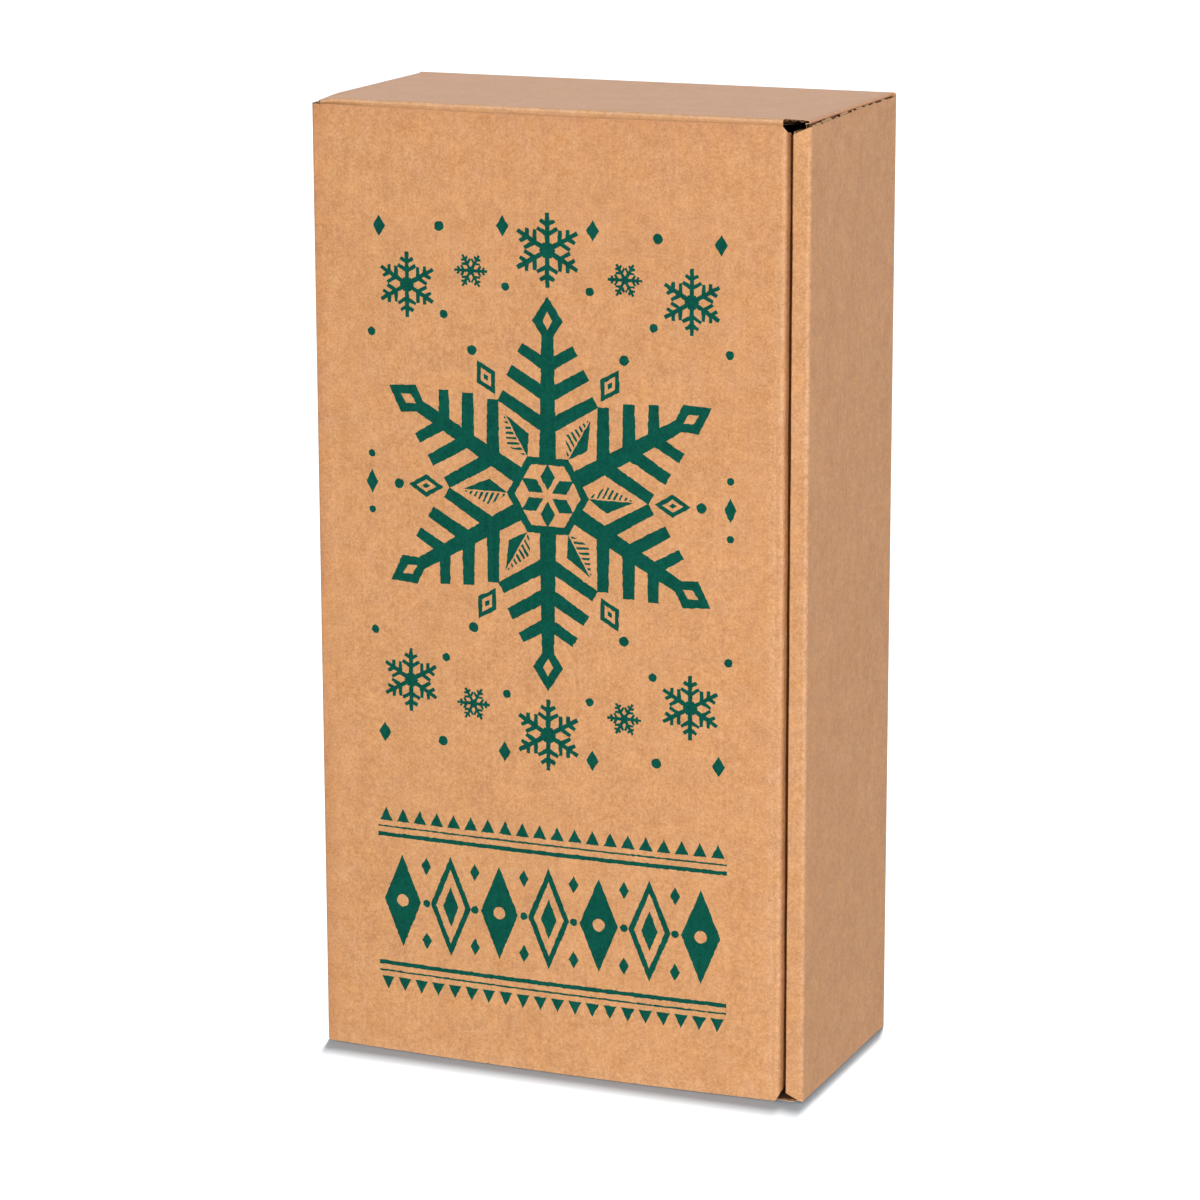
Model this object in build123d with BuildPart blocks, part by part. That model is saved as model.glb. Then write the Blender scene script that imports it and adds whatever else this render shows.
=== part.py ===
from build123d import *
import math
import os

# Two-bottle carton of thin corrugated board, standing on its short end.
# Millimetres, +Z up. The lid faces -Y, its hinge crease is the left vertical
# edge (-X), and its free edge folds back into a tuck flap at the right (+X).
# The origin is the middle of the carton's footprint, on the floor.

# ---- driving dimensions -------------------------------------------------
H = 360.0            # overall height
W = 192.0            # overall width, left wall to right wall
D = 95.0             # overall depth, flat lid face to back face
T = 1.6              # board thickness
BOW = 2.8            # how far the lid's lower edge bellies out at its middle
CLEAR = 0.15         # air between the closed lid and the folded wall edges
GAP_JOINT = 0.15     # air between two boards that meet at a moving crease

# ---- levels and planes --------------------------------------------------
X_L = -W / 2                     # left wall, outer face
X_R = W / 2                      # right wall, outer face
Y_F = -(D - BOW) / 2             # lid, flat outer face
Y_B = Y_F + D                    # back panel, outer face
Y_EDGE = Y_F + T + CLEAR         # front plane of the folded wall edges
Y_BACK_IN = Y_B - T              # back panel, inner face

# left wall and right wall stop short of the end walls' outer faces
SIDE_LOW = 0.5
LEFT_TOP = H - T - 0.1
RIGHT_TOP = H - 1.4

# ---- lid ----------------------------------------------------------------
LID_LOW = 0.3                    # just clear of the floor
LID_TOP = H - 2.0                # leaves the top wall's folded edge in view
SEAM = 1.0                       # open seam between lid fold and right wall
ROLL = 6.8                       # width of the right wall's rolled edge
X_LID = X_R - ROLL - SEAM        # fold at the lid's free edge, outer corner
RELIEF_TOP = (2.3, 2.6)          # corner cuts at the fold: along X, along Z
RELIEF_LOW = (2.1, 3.3)

# ---- tuck flap ----------------------------------------------------------
FLAP_L = 28.0                    # depth of the flap behind the fold
FLAP_TILT = 6.0                  # leans this far inwards past square
FLAP_TAPER = 9.0                 # its ends taper in by this much

# ---- right wall (double, rolled over the corner flaps) ------------------
ROLL_CHAMFER = 2.8               # the rolled edge's ends slope by this much
ROLL_FLAT = 1.0                  # short square stretch beside the outer crease
X_RI = X_R - ROLL                # inner panel, face towards the bottles
EDGE_R = 0.9                     # rounding of a pressed crease

# ---- end walls (double, rolled) -----------------------------------------
END_T = 2 * T                    # outer and inner board together
END_EDGE_L = X_L + 2.6           # folded front edge, left end
END_EDGE_R = X_LID - 2.6         # folded front edge, right end
END_IN_L = X_L + 2 * T + 0.1     # inner board, left end
END_IN_R = X_LID - 2.2           # inner board, right end

# ---- corner flaps -------------------------------------------------------
CFLAP_L = 78.0                   # length along the side wall
CFLAP_FRONT = Y_EDGE + T + 5.0
CFLAP_BACK = Y_BACK_IN - 0.4
CFLAP_TAPER = 10.0

# ---- locking tabs of the rolled-in boards -------------------------------
TAB_W = 36.0                     # width of a tab
TAB_SLOT = 0.15                  # air round a tab in its slot
TAB_OUT = T - 0.15               # how far a tab reaches into the back panel
SIDE_TAB_Z = (100.0, 260.0)      # right wall tab centres
END_TAB_X = (-46.0, 42.0)        # end wall tab centres

# ---- bottle divider -----------------------------------------------------
DIV_LOW = END_T + 0.2
DIV_TOP = H - END_T - 0.2
DIV_Y = Y_BACK_IN - T            # front face of the divider's base boards
DIV_REACH = 74.0                 # how far the web stands into the box
DIV_X = (X_L + T + X_RI) / 2     # middle of the web
DIV_CUT = 14.0                   # sloped corners of the web
DIV_L = X_L + 2 * T + 0.2        # base boards' outer ends
DIV_R = X_RI - 0.2

os.makedirs("parts", exist_ok=True)


# ---- back panel: the board that every wall is folded from ---------------
with BuildPart() as back_panel:
    with BuildSketch(Plane.XZ.offset(-Y_BACK_IN)) as back_outline:
        with Locations((0, H / 2)):
            Rectangle(W, H)
    extrude(amount=-T)
    # pressed creases round its outer rim
    fillet(
        back_panel.faces().sort_by(Axis.Y)[-1].edges(),
        radius=EDGE_R,
    )
    # slots for the tabs of the right wall
    with BuildSketch(Plane.XZ.offset(-Y_BACK_IN)) as side_slots:
        with Locations(*[(X_RI + T / 2, z) for z in SIDE_TAB_Z]):
            Rectangle(T + 2 * TAB_SLOT, TAB_W + 2 * TAB_SLOT)
    extrude(amount=-T, mode=Mode.SUBTRACT)
    # slots for the tabs of both end walls
    with BuildSketch(Plane.XZ.offset(-Y_BACK_IN)) as end_slots:
        with Locations(
            *[(x, H - END_T + T / 2) for x in END_TAB_X],
            *[(x, END_T - T / 2) for x in END_TAB_X],
        ):
            Rectangle(TAB_W + 2 * TAB_SLOT, T + 2 * TAB_SLOT)
    extrude(amount=-T, mode=Mode.SUBTRACT)
back_panel.part.label = "back_panel"
export_step(back_panel.part, "parts/back_panel.step")


# ---- left wall: single board, mitred where the lid is hinged to it ------
with BuildPart() as left_wall:
    with BuildSketch(Plane.XY.offset(SIDE_LOW)) as left_section:
        with BuildLine() as left_line:
            Polyline(
                (X_L, Y_F),
                (X_L, Y_BACK_IN),
                (X_L + T, Y_BACK_IN),
                (X_L + T, Y_F + T),
                close=True,
            )
        make_face()
    extrude(amount=LEFT_TOP - SIDE_LOW)
left_wall.part.label = "left_wall"
export_step(left_wall.part, "parts/left_wall.step")


# ---- lid ----------------------------------------------------------------
# Mitred at both creases. Its lower edge bellies out, its upper edge is flat.
half = math.radians((90 - FLAP_TILT) / 2)          # half the fold's inner angle
fold_in = (X_LID - T / math.tan(half), Y_F + T)    # inner corner of the fold
lid_mid = (X_L + X_LID) / 2

with BuildPart() as lid_panel:
    with BuildSketch(Plane.XY.offset(LID_LOW)) as lid_low:
        with BuildLine() as lid_low_line:
            a = (X_L + GAP_JOINT, Y_F)
            b = (X_LID, Y_F)
            c = fold_in
            d = (X_L + T + GAP_JOINT, Y_F + T)
            ThreePointArc(a, (lid_mid, Y_F - BOW), b)
            Line(b, c)
            ThreePointArc(c, (lid_mid, Y_F + T - BOW), d)
            Line(d, a)
        make_face()
    with BuildSketch(Plane.XY.offset(LID_TOP)) as lid_top:
        with BuildLine() as lid_top_line:
            Polyline(a, b, c, d, close=True)
        make_face()
    loft(ruled=True)
    # small slanting cuts where the fold meets the upper and lower edges
    with BuildSketch(Plane.XZ.offset(-Y_F - 2 * T)) as reliefs:
        with BuildLine() as relief_top_line:
            Polyline(
                (X_LID + 0.1, LID_TOP + 0.1),
                (X_LID + 0.1, LID_TOP - RELIEF_TOP[1]),
                (X_LID - RELIEF_TOP[0], LID_TOP + 0.1),
                close=True,
            )
        make_face()
        with BuildLine() as relief_low_line:
            Polyline(
                (X_LID + 0.1, LID_LOW - 0.1),
                (X_LID - RELIEF_LOW[0], LID_LOW - 0.1),
                (X_LID + 0.1, LID_LOW + RELIEF_LOW[1]),
                close=True,
            )
        make_face()
    extrude(amount=3 * T + BOW, mode=Mode.SUBTRACT)
lid_panel.part.label = "lid_panel"
export_step(lid_panel.part, "parts/lid_panel.step")


# ---- tuck flap: folded back from the lid's free edge --------------------
tilt = math.radians(FLAP_TILT)
fd = (-math.sin(tilt), math.cos(tilt))             # along the flap
fn = (-math.cos(tilt), -math.sin(tilt))            # towards its inner face
root_out = (X_LID + GAP_JOINT * fd[0], Y_F + GAP_JOINT * fd[1])
root_in = (fold_in[0] + GAP_JOINT * fd[0], fold_in[1] + GAP_JOINT * fd[1])
tip_out = (X_LID + FLAP_L * fd[0], Y_F + FLAP_L * fd[1])
tip_in = (tip_out[0] + T * fn[0], tip_out[1] + T * fn[1])
flap_low = LID_LOW + RELIEF_LOW[1]
flap_top = LID_TOP - RELIEF_TOP[1]

with BuildPart() as lid_tuck_flap:
    with BuildSketch(Plane.XY.offset(flap_low)) as flap_section:
        with BuildLine() as flap_line:
            Polyline(root_out, tip_out, tip_in, root_in, close=True)
        make_face()
    extrude(amount=flap_top - flap_low)
    # both ends taper towards the free edge, so the flap slips in
    with BuildSketch(Plane.YZ.offset(X_LID - 12)) as flap_tapers:
        with BuildLine() as taper_top_line:
            Polyline(
                (Y_F + 3, flap_top + 1),
                (Y_F + 3, flap_top),
                (Y_F + FLAP_L + 1, flap_top - FLAP_TAPER),
                (Y_F + FLAP_L + 1, flap_top + 1),
                close=True,
            )
        make_face()
        with BuildLine() as taper_low_line:
            Polyline(
                (Y_F + 3, flap_low - 1),
                (Y_F + FLAP_L + 1, flap_low - 1),
                (Y_F + FLAP_L + 1, flap_low + FLAP_TAPER),
                (Y_F + 3, flap_low),
                close=True,
            )
        make_face()
    extrude(amount=20, mode=Mode.SUBTRACT)
lid_tuck_flap.part.label = "lid_tuck_flap"
export_step(lid_tuck_flap.part, "parts/lid_tuck_flap.step")


# ---- right wall: outer board --------------------------------------------
with BuildPart() as right_wall_outer:
    with BuildSketch(Plane.XY.offset(SIDE_LOW)) as right_outer_section:
        with BuildLine() as right_outer_line:
            Polyline(
                (X_R - T, Y_EDGE + T),
                (X_R, Y_EDGE + T),
                (X_R, Y_BACK_IN),
                (X_R - T, Y_BACK_IN),
                close=True,
            )
        make_face()
    extrude(amount=RIGHT_TOP - SIDE_LOW)
right_wall_outer.part.label = "right_wall_outer"
export_step(right_wall_outer.part, "parts/right_wall_outer.step")


# ---- right wall: rolled front edge, with sloping ends -------------------
with BuildPart() as right_wall_edge:
    with BuildSketch(Plane.XZ.offset(-Y_EDGE)) as right_edge_outline:
        with BuildLine() as right_edge_line:
            Polyline(
                (X_RI, SIDE_LOW + ROLL_CHAMFER),
                (X_R - ROLL_FLAT, SIDE_LOW),
                (X_R, SIDE_LOW),
                (X_R, RIGHT_TOP),
                (X_R - ROLL_FLAT, RIGHT_TOP),
                (X_RI, RIGHT_TOP - ROLL_CHAMFER),
                close=True,
            )
        make_face()
    extrude(amount=-T)
    fillet(
        right_wall_edge.faces().sort_by(Axis.Y)[0].edges().filter_by(Axis.Z),
        radius=EDGE_R,
    )
right_wall_edge.part.label = "right_wall_edge"
export_step(right_wall_edge.part, "parts/right_wall_edge.step")


# ---- right wall: inner board, tabbed into the back panel ----------------
inner_low = SIDE_LOW + ROLL_CHAMFER
inner_top = RIGHT_TOP - ROLL_CHAMFER
with BuildPart() as right_wall_inner:
    with BuildSketch(Plane.YZ.offset(X_RI)) as right_inner_outline:
        with Locations(((Y_EDGE + T + Y_BACK_IN) / 2, (inner_low + inner_top) / 2)):
            Rectangle(Y_BACK_IN - Y_EDGE - T, inner_top - inner_low)
        with Locations(*[(Y_BACK_IN + TAB_OUT / 2, z) for z in SIDE_TAB_Z]):
            Rectangle(TAB_OUT, TAB_W)
    extrude(amount=T)
right_wall_inner.part.label = "right_wall_inner"
export_step(right_wall_inner.part, "parts/right_wall_inner.step")


# ---- top wall: outer board ----------------------------------------------
END_X0 = X_L + T                  # outer boards run between the side walls
END_X1 = X_R - T
with BuildPart() as top_wall_outer:
    with BuildSketch(Plane.XY.offset(H - T)) as top_outer_outline:
        with BuildLine() as top_outer_line:
            Polyline(
                (END_X0, Y_EDGE + T),
                (END_X1, Y_EDGE + T),
                (END_X1, Y_BACK_IN),
                (END_X0, Y_BACK_IN),
                close=True,
            )
        make_face()
    extrude(amount=T)
    fillet(
        top_wall_outer.faces().sort_by(Axis.Z)[-1].edges().filter_by(Axis.Y),
        radius=T - 0.3,
    )
top_wall_outer.part.label = "top_wall_outer"
export_step(top_wall_outer.part, "parts/top_wall_outer.step")


# ---- top wall: folded front edge ----------------------------------------
with BuildPart() as top_wall_edge:
    with BuildSketch(Plane.XZ.offset(-Y_EDGE)) as top_edge_outline:
        with BuildLine() as top_edge_line:
            Polyline(
                (END_EDGE_L + 1.2, H - END_T),
                (END_EDGE_R - 0.6, H - END_T),
                (END_EDGE_R, H),
                (END_EDGE_L, H),
                close=True,
            )
        make_face()
    extrude(amount=-T)
    fillet(
        top_wall_edge.faces().sort_by(Axis.Y)[0].edges().filter_by(Axis.X),
        radius=EDGE_R,
    )
top_wall_edge.part.label = "top_wall_edge"
export_step(top_wall_edge.part, "parts/top_wall_edge.step")


# ---- top wall: inner board, tabbed into the back panel ------------------
with BuildPart() as top_wall_inner:
    with BuildSketch(Plane.XY.offset(H - END_T)) as top_inner_outline:
        with Locations(((END_IN_L + END_IN_R) / 2, (Y_EDGE + T + Y_BACK_IN) / 2)):
            Rectangle(END_IN_R - END_IN_L, Y_BACK_IN - Y_EDGE - T)
        with Locations(*[(x, Y_BACK_IN + TAB_OUT / 2) for x in END_TAB_X]):
            Rectangle(TAB_W, TAB_OUT)
    extrude(amount=T)
top_wall_inner.part.label = "top_wall_inner"
export_step(top_wall_inner.part, "parts/top_wall_inner.step")


# ---- bottom wall: outer board, what the carton stands on ----------------
with BuildPart() as bottom_wall_outer:
    with BuildSketch(Plane.XY) as bottom_outer_outline:
        with BuildLine() as bottom_outer_line:
            Polyline(
                (END_X0, Y_EDGE + T),
                (END_X1, Y_EDGE + T),
                (END_X1, Y_BACK_IN),
                (END_X0, Y_BACK_IN),
                close=True,
            )
        make_face()
    extrude(amount=T)
    fillet(
        bottom_wall_outer.faces().sort_by(Axis.Z)[0].edges().filter_by(Axis.Y),
        radius=T - 0.3,
    )
bottom_wall_outer.part.label = "bottom_wall_outer"
export_step(bottom_wall_outer.part, "parts/bottom_wall_outer.step")


# ---- bottom wall: folded front edge -------------------------------------
with BuildPart() as bottom_wall_edge:
    with BuildSketch(Plane.XZ.offset(-Y_EDGE)) as bottom_edge_outline:
        with BuildLine() as bottom_edge_line:
            Polyline(
                (END_EDGE_L, 0),
                (END_EDGE_R, 0),
                (END_EDGE_R - 0.6, END_T),
                (END_EDGE_L + 1.2, END_T),
                close=True,
            )
        make_face()
    extrude(amount=-T)
    fillet(
        bottom_wall_edge.faces().sort_by(Axis.Y)[0].edges().filter_by(Axis.X),
        radius=EDGE_R,
    )
bottom_wall_edge.part.label = "bottom_wall_edge"
export_step(bottom_wall_edge.part, "parts/bottom_wall_edge.step")


# ---- bottom wall: inner board, tabbed into the back panel ---------------
with BuildPart() as bottom_wall_inner:
    with BuildSketch(Plane.XY.offset(T)) as bottom_inner_outline:
        with Locations(((END_IN_L + END_IN_R) / 2, (Y_EDGE + T + Y_BACK_IN) / 2)):
            Rectangle(END_IN_R - END_IN_L, Y_BACK_IN - Y_EDGE - T)
        with Locations(*[(x, Y_BACK_IN + TAB_OUT / 2) for x in END_TAB_X]):
            Rectangle(TAB_W, TAB_OUT)
    extrude(amount=T)
bottom_wall_inner.part.label = "bottom_wall_inner"
export_step(bottom_wall_inner.part, "parts/bottom_wall_inner.step")


# ---- corner flaps: ends of the end walls, folded along the side walls ---
# Each is a board with its two free corners cut off.
with BuildPart() as top_left_corner_flap:
    with BuildSketch(Plane.YZ.offset(X_L + T)) as top_left_flap_outline:
        with BuildLine() as top_left_flap_line:
            Polyline(
                (CFLAP_FRONT, H - T),
                (CFLAP_BACK, H - T),
                (CFLAP_BACK, H - T - CFLAP_L + CFLAP_TAPER),
                (CFLAP_BACK - CFLAP_TAPER, H - T - CFLAP_L),
                (CFLAP_FRONT + CFLAP_TAPER, H - T - CFLAP_L),
                (CFLAP_FRONT, H - T - CFLAP_L + CFLAP_TAPER),
                close=True,
            )
        make_face()
    extrude(amount=T)
top_left_corner_flap.part.label = "top_left_corner_flap"
export_step(top_left_corner_flap.part, "parts/top_left_corner_flap.step")

with BuildPart() as top_right_corner_flap:
    with BuildSketch(Plane.YZ.offset(X_R - 2 * T)) as top_right_flap_outline:
        with BuildLine() as top_right_flap_line:
            Polyline(
                (CFLAP_FRONT, H - T),
                (CFLAP_BACK, H - T),
                (CFLAP_BACK, H - T - CFLAP_L + CFLAP_TAPER),
                (CFLAP_BACK - CFLAP_TAPER, H - T - CFLAP_L),
                (CFLAP_FRONT + CFLAP_TAPER, H - T - CFLAP_L),
                (CFLAP_FRONT, H - T - CFLAP_L + CFLAP_TAPER),
                close=True,
            )
        make_face()
    extrude(amount=T)
top_right_corner_flap.part.label = "top_right_corner_flap"
export_step(top_right_corner_flap.part, "parts/top_right_corner_flap.step")

with BuildPart() as bottom_left_corner_flap:
    with BuildSketch(Plane.YZ.offset(X_L + T)) as bottom_left_flap_outline:
        with BuildLine() as bottom_left_flap_line:
            Polyline(
                (CFLAP_FRONT, T),
                (CFLAP_BACK, T),
                (CFLAP_BACK, T + CFLAP_L - CFLAP_TAPER),
                (CFLAP_BACK - CFLAP_TAPER, T + CFLAP_L),
                (CFLAP_FRONT + CFLAP_TAPER, T + CFLAP_L),
                (CFLAP_FRONT, T + CFLAP_L - CFLAP_TAPER),
                close=True,
            )
        make_face()
    extrude(amount=T)
bottom_left_corner_flap.part.label = "bottom_left_corner_flap"
export_step(bottom_left_corner_flap.part, "parts/bottom_left_corner_flap.step")

with BuildPart() as bottom_right_corner_flap:
    with BuildSketch(Plane.YZ.offset(X_R - 2 * T)) as bottom_right_flap_outline:
        with BuildLine() as bottom_right_flap_line:
            Polyline(
                (CFLAP_FRONT, T),
                (CFLAP_BACK, T),
                (CFLAP_BACK, T + CFLAP_L - CFLAP_TAPER),
                (CFLAP_BACK - CFLAP_TAPER, T + CFLAP_L),
                (CFLAP_FRONT + CFLAP_TAPER, T + CFLAP_L),
                (CFLAP_FRONT, T + CFLAP_L - CFLAP_TAPER),
                close=True,
            )
        make_face()
    extrude(amount=T)
bottom_right_corner_flap.part.label = "bottom_right_corner_flap"
export_step(bottom_right_corner_flap.part, "parts/bottom_right_corner_flap.step")


# ---- bottle divider: a loose board folded to an upright T ---------------
# Its two base boards lie on the back panel, wedged between the side walls.
with BuildPart() as divider_left_base:
    with BuildSketch(Plane.XZ.offset(-DIV_Y)) as div_left_base_outline:
        with Locations(((DIV_L + DIV_X) / 2, (DIV_LOW + DIV_TOP) / 2)):
            Rectangle(DIV_X - DIV_L, DIV_TOP - DIV_LOW)
    extrude(amount=-T)
divider_left_base.part.label = "divider_left_base"
export_step(divider_left_base.part, "parts/divider_left_base.step")

with BuildPart() as divider_right_base:
    with BuildSketch(Plane.XZ.offset(-DIV_Y)) as div_right_base_outline:
        with Locations(((DIV_X + DIV_R) / 2, (DIV_LOW + DIV_TOP) / 2)):
            Rectangle(DIV_R - DIV_X, DIV_TOP - DIV_LOW)
    extrude(amount=-T)
divider_right_base.part.label = "divider_right_base"
export_step(divider_right_base.part, "parts/divider_right_base.step")

# The two web boards stand back to back between the bottles.
with BuildPart() as divider_left_web:
    with BuildSketch(Plane.YZ.offset(DIV_X - T)) as div_left_web_outline:
        with BuildLine() as div_left_web_line:
            Polyline(
                (DIV_Y, DIV_LOW),
                (DIV_Y, DIV_TOP),
                (DIV_Y - DIV_REACH + DIV_CUT, DIV_TOP),
                (DIV_Y - DIV_REACH, DIV_TOP - DIV_CUT),
                (DIV_Y - DIV_REACH, DIV_LOW + DIV_CUT),
                (DIV_Y - DIV_REACH + DIV_CUT, DIV_LOW),
                close=True,
            )
        make_face()
    extrude(amount=T)
divider_left_web.part.label = "divider_left_web"
export_step(divider_left_web.part, "parts/divider_left_web.step")

with BuildPart() as divider_right_web:
    with BuildSketch(Plane.YZ.offset(DIV_X)) as div_right_web_outline:
        with BuildLine() as div_right_web_line:
            Polyline(
                (DIV_Y, DIV_LOW),
                (DIV_Y, DIV_TOP),
                (DIV_Y - DIV_REACH + DIV_CUT, DIV_TOP),
                (DIV_Y - DIV_REACH, DIV_TOP - DIV_CUT),
                (DIV_Y - DIV_REACH, DIV_LOW + DIV_CUT),
                (DIV_Y - DIV_REACH + DIV_CUT, DIV_LOW),
                close=True,
            )
        make_face()
    extrude(amount=T)
divider_right_web.part.label = "divider_right_web"
export_step(divider_right_web.part, "parts/divider_right_web.step")

# The fold that joins the two web boards along their front edge.
with BuildPart() as divider_front_fold:
    with BuildSketch(Plane.XY.offset(DIV_LOW + DIV_CUT)) as div_fold_outline:
        with Locations((DIV_X, DIV_Y - DIV_REACH - T / 2)):
            Rectangle(2 * T, T)
    extrude(amount=DIV_TOP - DIV_LOW - 2 * DIV_CUT)
    fillet(
        divider_front_fold.faces().sort_by(Axis.Y)[0].edges().filter_by(Axis.Z),
        radius=EDGE_R,
    )
divider_front_fold.part.label = "divider_front_fold"
export_step(divider_front_fold.part, "parts/divider_front_fold.step")

print("lid hinge axis at", X_L, Y_F)
print("tuck crease axis at", X_LID, Y_F)
print("back inner face", Y_BACK_IN, "divider front face", DIV_Y)
print("left bay x", END_IN_L, DIV_X - T, " right bay x", DIV_X + T, tip_in[0])
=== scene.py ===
import math

import bmesh
import bpy
import numpy as np
from mathutils import Matrix, Vector
from mathutils.geometry import delaunay_2d_cdt


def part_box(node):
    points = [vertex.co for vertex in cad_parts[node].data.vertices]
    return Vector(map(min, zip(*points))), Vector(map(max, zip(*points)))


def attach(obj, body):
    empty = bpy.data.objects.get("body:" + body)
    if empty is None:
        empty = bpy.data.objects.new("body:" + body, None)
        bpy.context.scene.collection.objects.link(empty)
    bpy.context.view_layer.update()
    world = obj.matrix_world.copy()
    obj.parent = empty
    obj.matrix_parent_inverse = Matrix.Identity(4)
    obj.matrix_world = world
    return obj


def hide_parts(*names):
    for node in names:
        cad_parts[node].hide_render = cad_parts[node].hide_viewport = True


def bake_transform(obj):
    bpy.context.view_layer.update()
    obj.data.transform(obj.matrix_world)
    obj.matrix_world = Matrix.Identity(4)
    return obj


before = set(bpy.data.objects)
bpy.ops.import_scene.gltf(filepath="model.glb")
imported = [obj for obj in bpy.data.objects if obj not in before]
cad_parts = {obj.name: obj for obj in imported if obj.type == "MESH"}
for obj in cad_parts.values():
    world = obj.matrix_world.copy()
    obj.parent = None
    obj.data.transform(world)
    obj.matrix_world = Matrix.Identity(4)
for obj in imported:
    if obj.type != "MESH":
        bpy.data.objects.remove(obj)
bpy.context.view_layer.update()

MM = 0.001
rng = np.random.RandomState(20)


def box_mm(node):
    lo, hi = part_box(node)
    return [c * 1000 for c in lo], [c * 1000 for c in hi]


# ---- planes and sizes, read from the frame where it has them --------------
H = box_mm("back_panel")[1][2]
X_L, X_R = box_mm("back_panel")[0][0], box_mm("back_panel")[1][0]
Y_B = box_mm("back_panel")[1][1]
Y_IN = box_mm("back_panel")[0][1]
Y_F = box_mm("left_wall")[0][1]
T = Y_B - Y_IN
Y_E = box_mm("right_wall_edge")[0][1]
X_RI = box_mm("right_wall_inner")[0][0]
SIDE_LOW, LEFT_TOP = box_mm("left_wall")[0][2], box_mm("left_wall")[1][2]
RIGHT_TOP = box_mm("right_wall_outer")[1][2]
LID_LOW, LID_TOP = box_mm("lid_panel")[0][2], box_mm("lid_panel")[1][2]
X_LID = box_mm("lid_panel")[1][0]
FLAP_LOW, FLAP_TOP = box_mm("lid_tuck_flap")[0][2], box_mm("lid_tuck_flap")[1][2]
BOW = 2.77
FLAP_L, FLAP_TILT, FLAP_TAPER = 28.0, math.radians(6.0), 9.0
END_T = 2 * T
LINER = 0.24          # liner thickness, a little full so that it reads
PITCH = 3.2           # flute pitch
FOLD = 3.4            # how far the hinge crease piece reaches along each board
TUCK = 3.6            # the same at the tuck crease
WALLS, CEILING, BEHIND, KEY, SWEEP = 0.71, 0.51, 1.45, 2.0, 5.4
DROOP = 0.9           # how far the right wall's top edge is down at the front
TUCKED = 1.2          # how far a corner flap's fold is drawn in from the wall
LIP = 0.7             # how far the same fold stands out over the wall's top edge


# ---- small vector helpers -------------------------------------------------
def smooth(x):
    x = np.clip(x, 0.0, 1.0)
    return x * x * (3 - 2 * x)


def ripple(z, seed, amp, waves):
    """A slow waviness along a length, always the same for the same seed."""
    r = np.random.RandomState(seed)
    out = np.zeros_like(np.asarray(z, float))
    for w in waves:
        out = out + r.uniform(0.4, 1.0) * np.sin(2 * np.pi * (np.asarray(z) / w + r.uniform()))
    return amp * out / len(waves)


def bow(x, z):
    """How far the lid stands proud of its flat plane: most at its lower middle."""
    u = np.clip((x - X_L) / (X_LID - X_L), 0, 1)
    return -4 * BOW * u * (1 - u) * (1 - (z - LID_LOW) / (LID_TOP - LID_LOW))


def wander(x, z):
    """The lid's free edge isn't quite straight."""
    return ripple(z, 3, 0.22, (31.0, 57.0, 143.0)) * smooth((x - 62.0) / 20.0)


def rounded(points, radii, n=7, ds=None):
    """A closed polygon with its corners rounded. points are (x, y, tag); the
    tag belongs to the side that starts there. Returns (x, y, tag, bend)."""
    out = []
    count = len(points)
    for i in range(count):
        x, y, tag = points[i]
        r = radii[i]
        p = np.array((x, y))
        a = np.array(points[i - 1][:2]) - p
        b = np.array(points[(i + 1) % count][:2]) - p
        a, b = a / np.linalg.norm(a), b / np.linalg.norm(b)
        last = points[i - 1][2]
        if not r:
            out.append((x, y, tag, 0.0))
            continue
        half = math.acos(max(-1, min(1, float(a @ b)))) / 2
        reach = r / math.tan(half)
        mid = (a + b) / np.linalg.norm(a + b)
        c = p + mid * (r / math.sin(half))
        s, e = p + a * reach, p + b * reach
        t0 = math.atan2(*(s - c)[::-1])
        t1 = math.atan2(*(e - c)[::-1])
        turn = (t1 - t0 + math.pi) % (2 * math.pi) - math.pi
        out.append((*(p + a * (reach + 0.16)), last, 0.3))
        for k in range(n + 1):
            t = t0 + turn * k / n
            out.append((c[0] + r * math.cos(t), c[1] + r * math.sin(t), last if k < n else tag, 1.0))
        out.append((*(p + b * (reach + 0.16)), tag, 0.3))
    if ds:
        fine = []
        for i, (x, y, tag, w) in enumerate(out):
            x2, y2, _, w2 = out[(i + 1) % len(out)]
            parts = max(1, int(math.hypot(x2 - x, y2 - y) / ds))
            fine += [
                (x + (x2 - x) * k / parts, y + (y2 - y) * k / parts, tag, w + (w2 - w) * k / parts)
                for k in range(parts)
            ]
        out = fine
    return out


# ---- one piece, gathered from closed shells -------------------------------
class Piece:
    def __init__(self):
        self.v, self.f, self.m, self.w, self.count = [], [], [], [], 0

    def add(self, verts, faces, mats, wear_and_painted_light=None):
        verts = np.asarray(verts, float).reshape(-1, 3)
        self.v.append(verts)
        self.f += [[self.count + int(i) for i in face] for face in faces]
        self.m += [int(m) for m in mats]
        self.w.append(np.zeros(len(verts)) if wear_and_painted_light is None else np.broadcast_to(np.asarray(wear_and_painted_light, float), (len(verts),)))
        self.count += len(verts)

    def build(self, name, slot, materials, sharp=38.0):
        me = bpy.data.meshes.new(name)
        me.from_pydata((np.concatenate(self.v) * MM).tolist(), [], self.f)
        me.polygons.foreach_set("material_index", self.m)
        me.polygons.foreach_set("use_smooth", [True] * len(self.f))
        wear_light_level = me.attributes.new("wear_and_painted_light", "FLOAT", "POINT")
        wear_light_level.data.foreach_set("value", np.concatenate(self.w).astype(np.float32))
        for m in materials:
            me.materials.append(m)
        bm = bmesh.new()
        bm.from_mesh(me)
        bmesh.ops.recalc_face_normals(bm, faces=bm.faces)
        limit = math.radians(sharp)
        for e in bm.edges:
            if len(e.link_faces) != 2 or e.calc_face_angle(0.0) > limit:
                e.smooth = False
        bm.to_mesh(me)
        bm.free()
        me.update()
        o = bpy.data.objects.new(name, me)
        bpy.context.scene.collection.objects.link(o)
        return o


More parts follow.
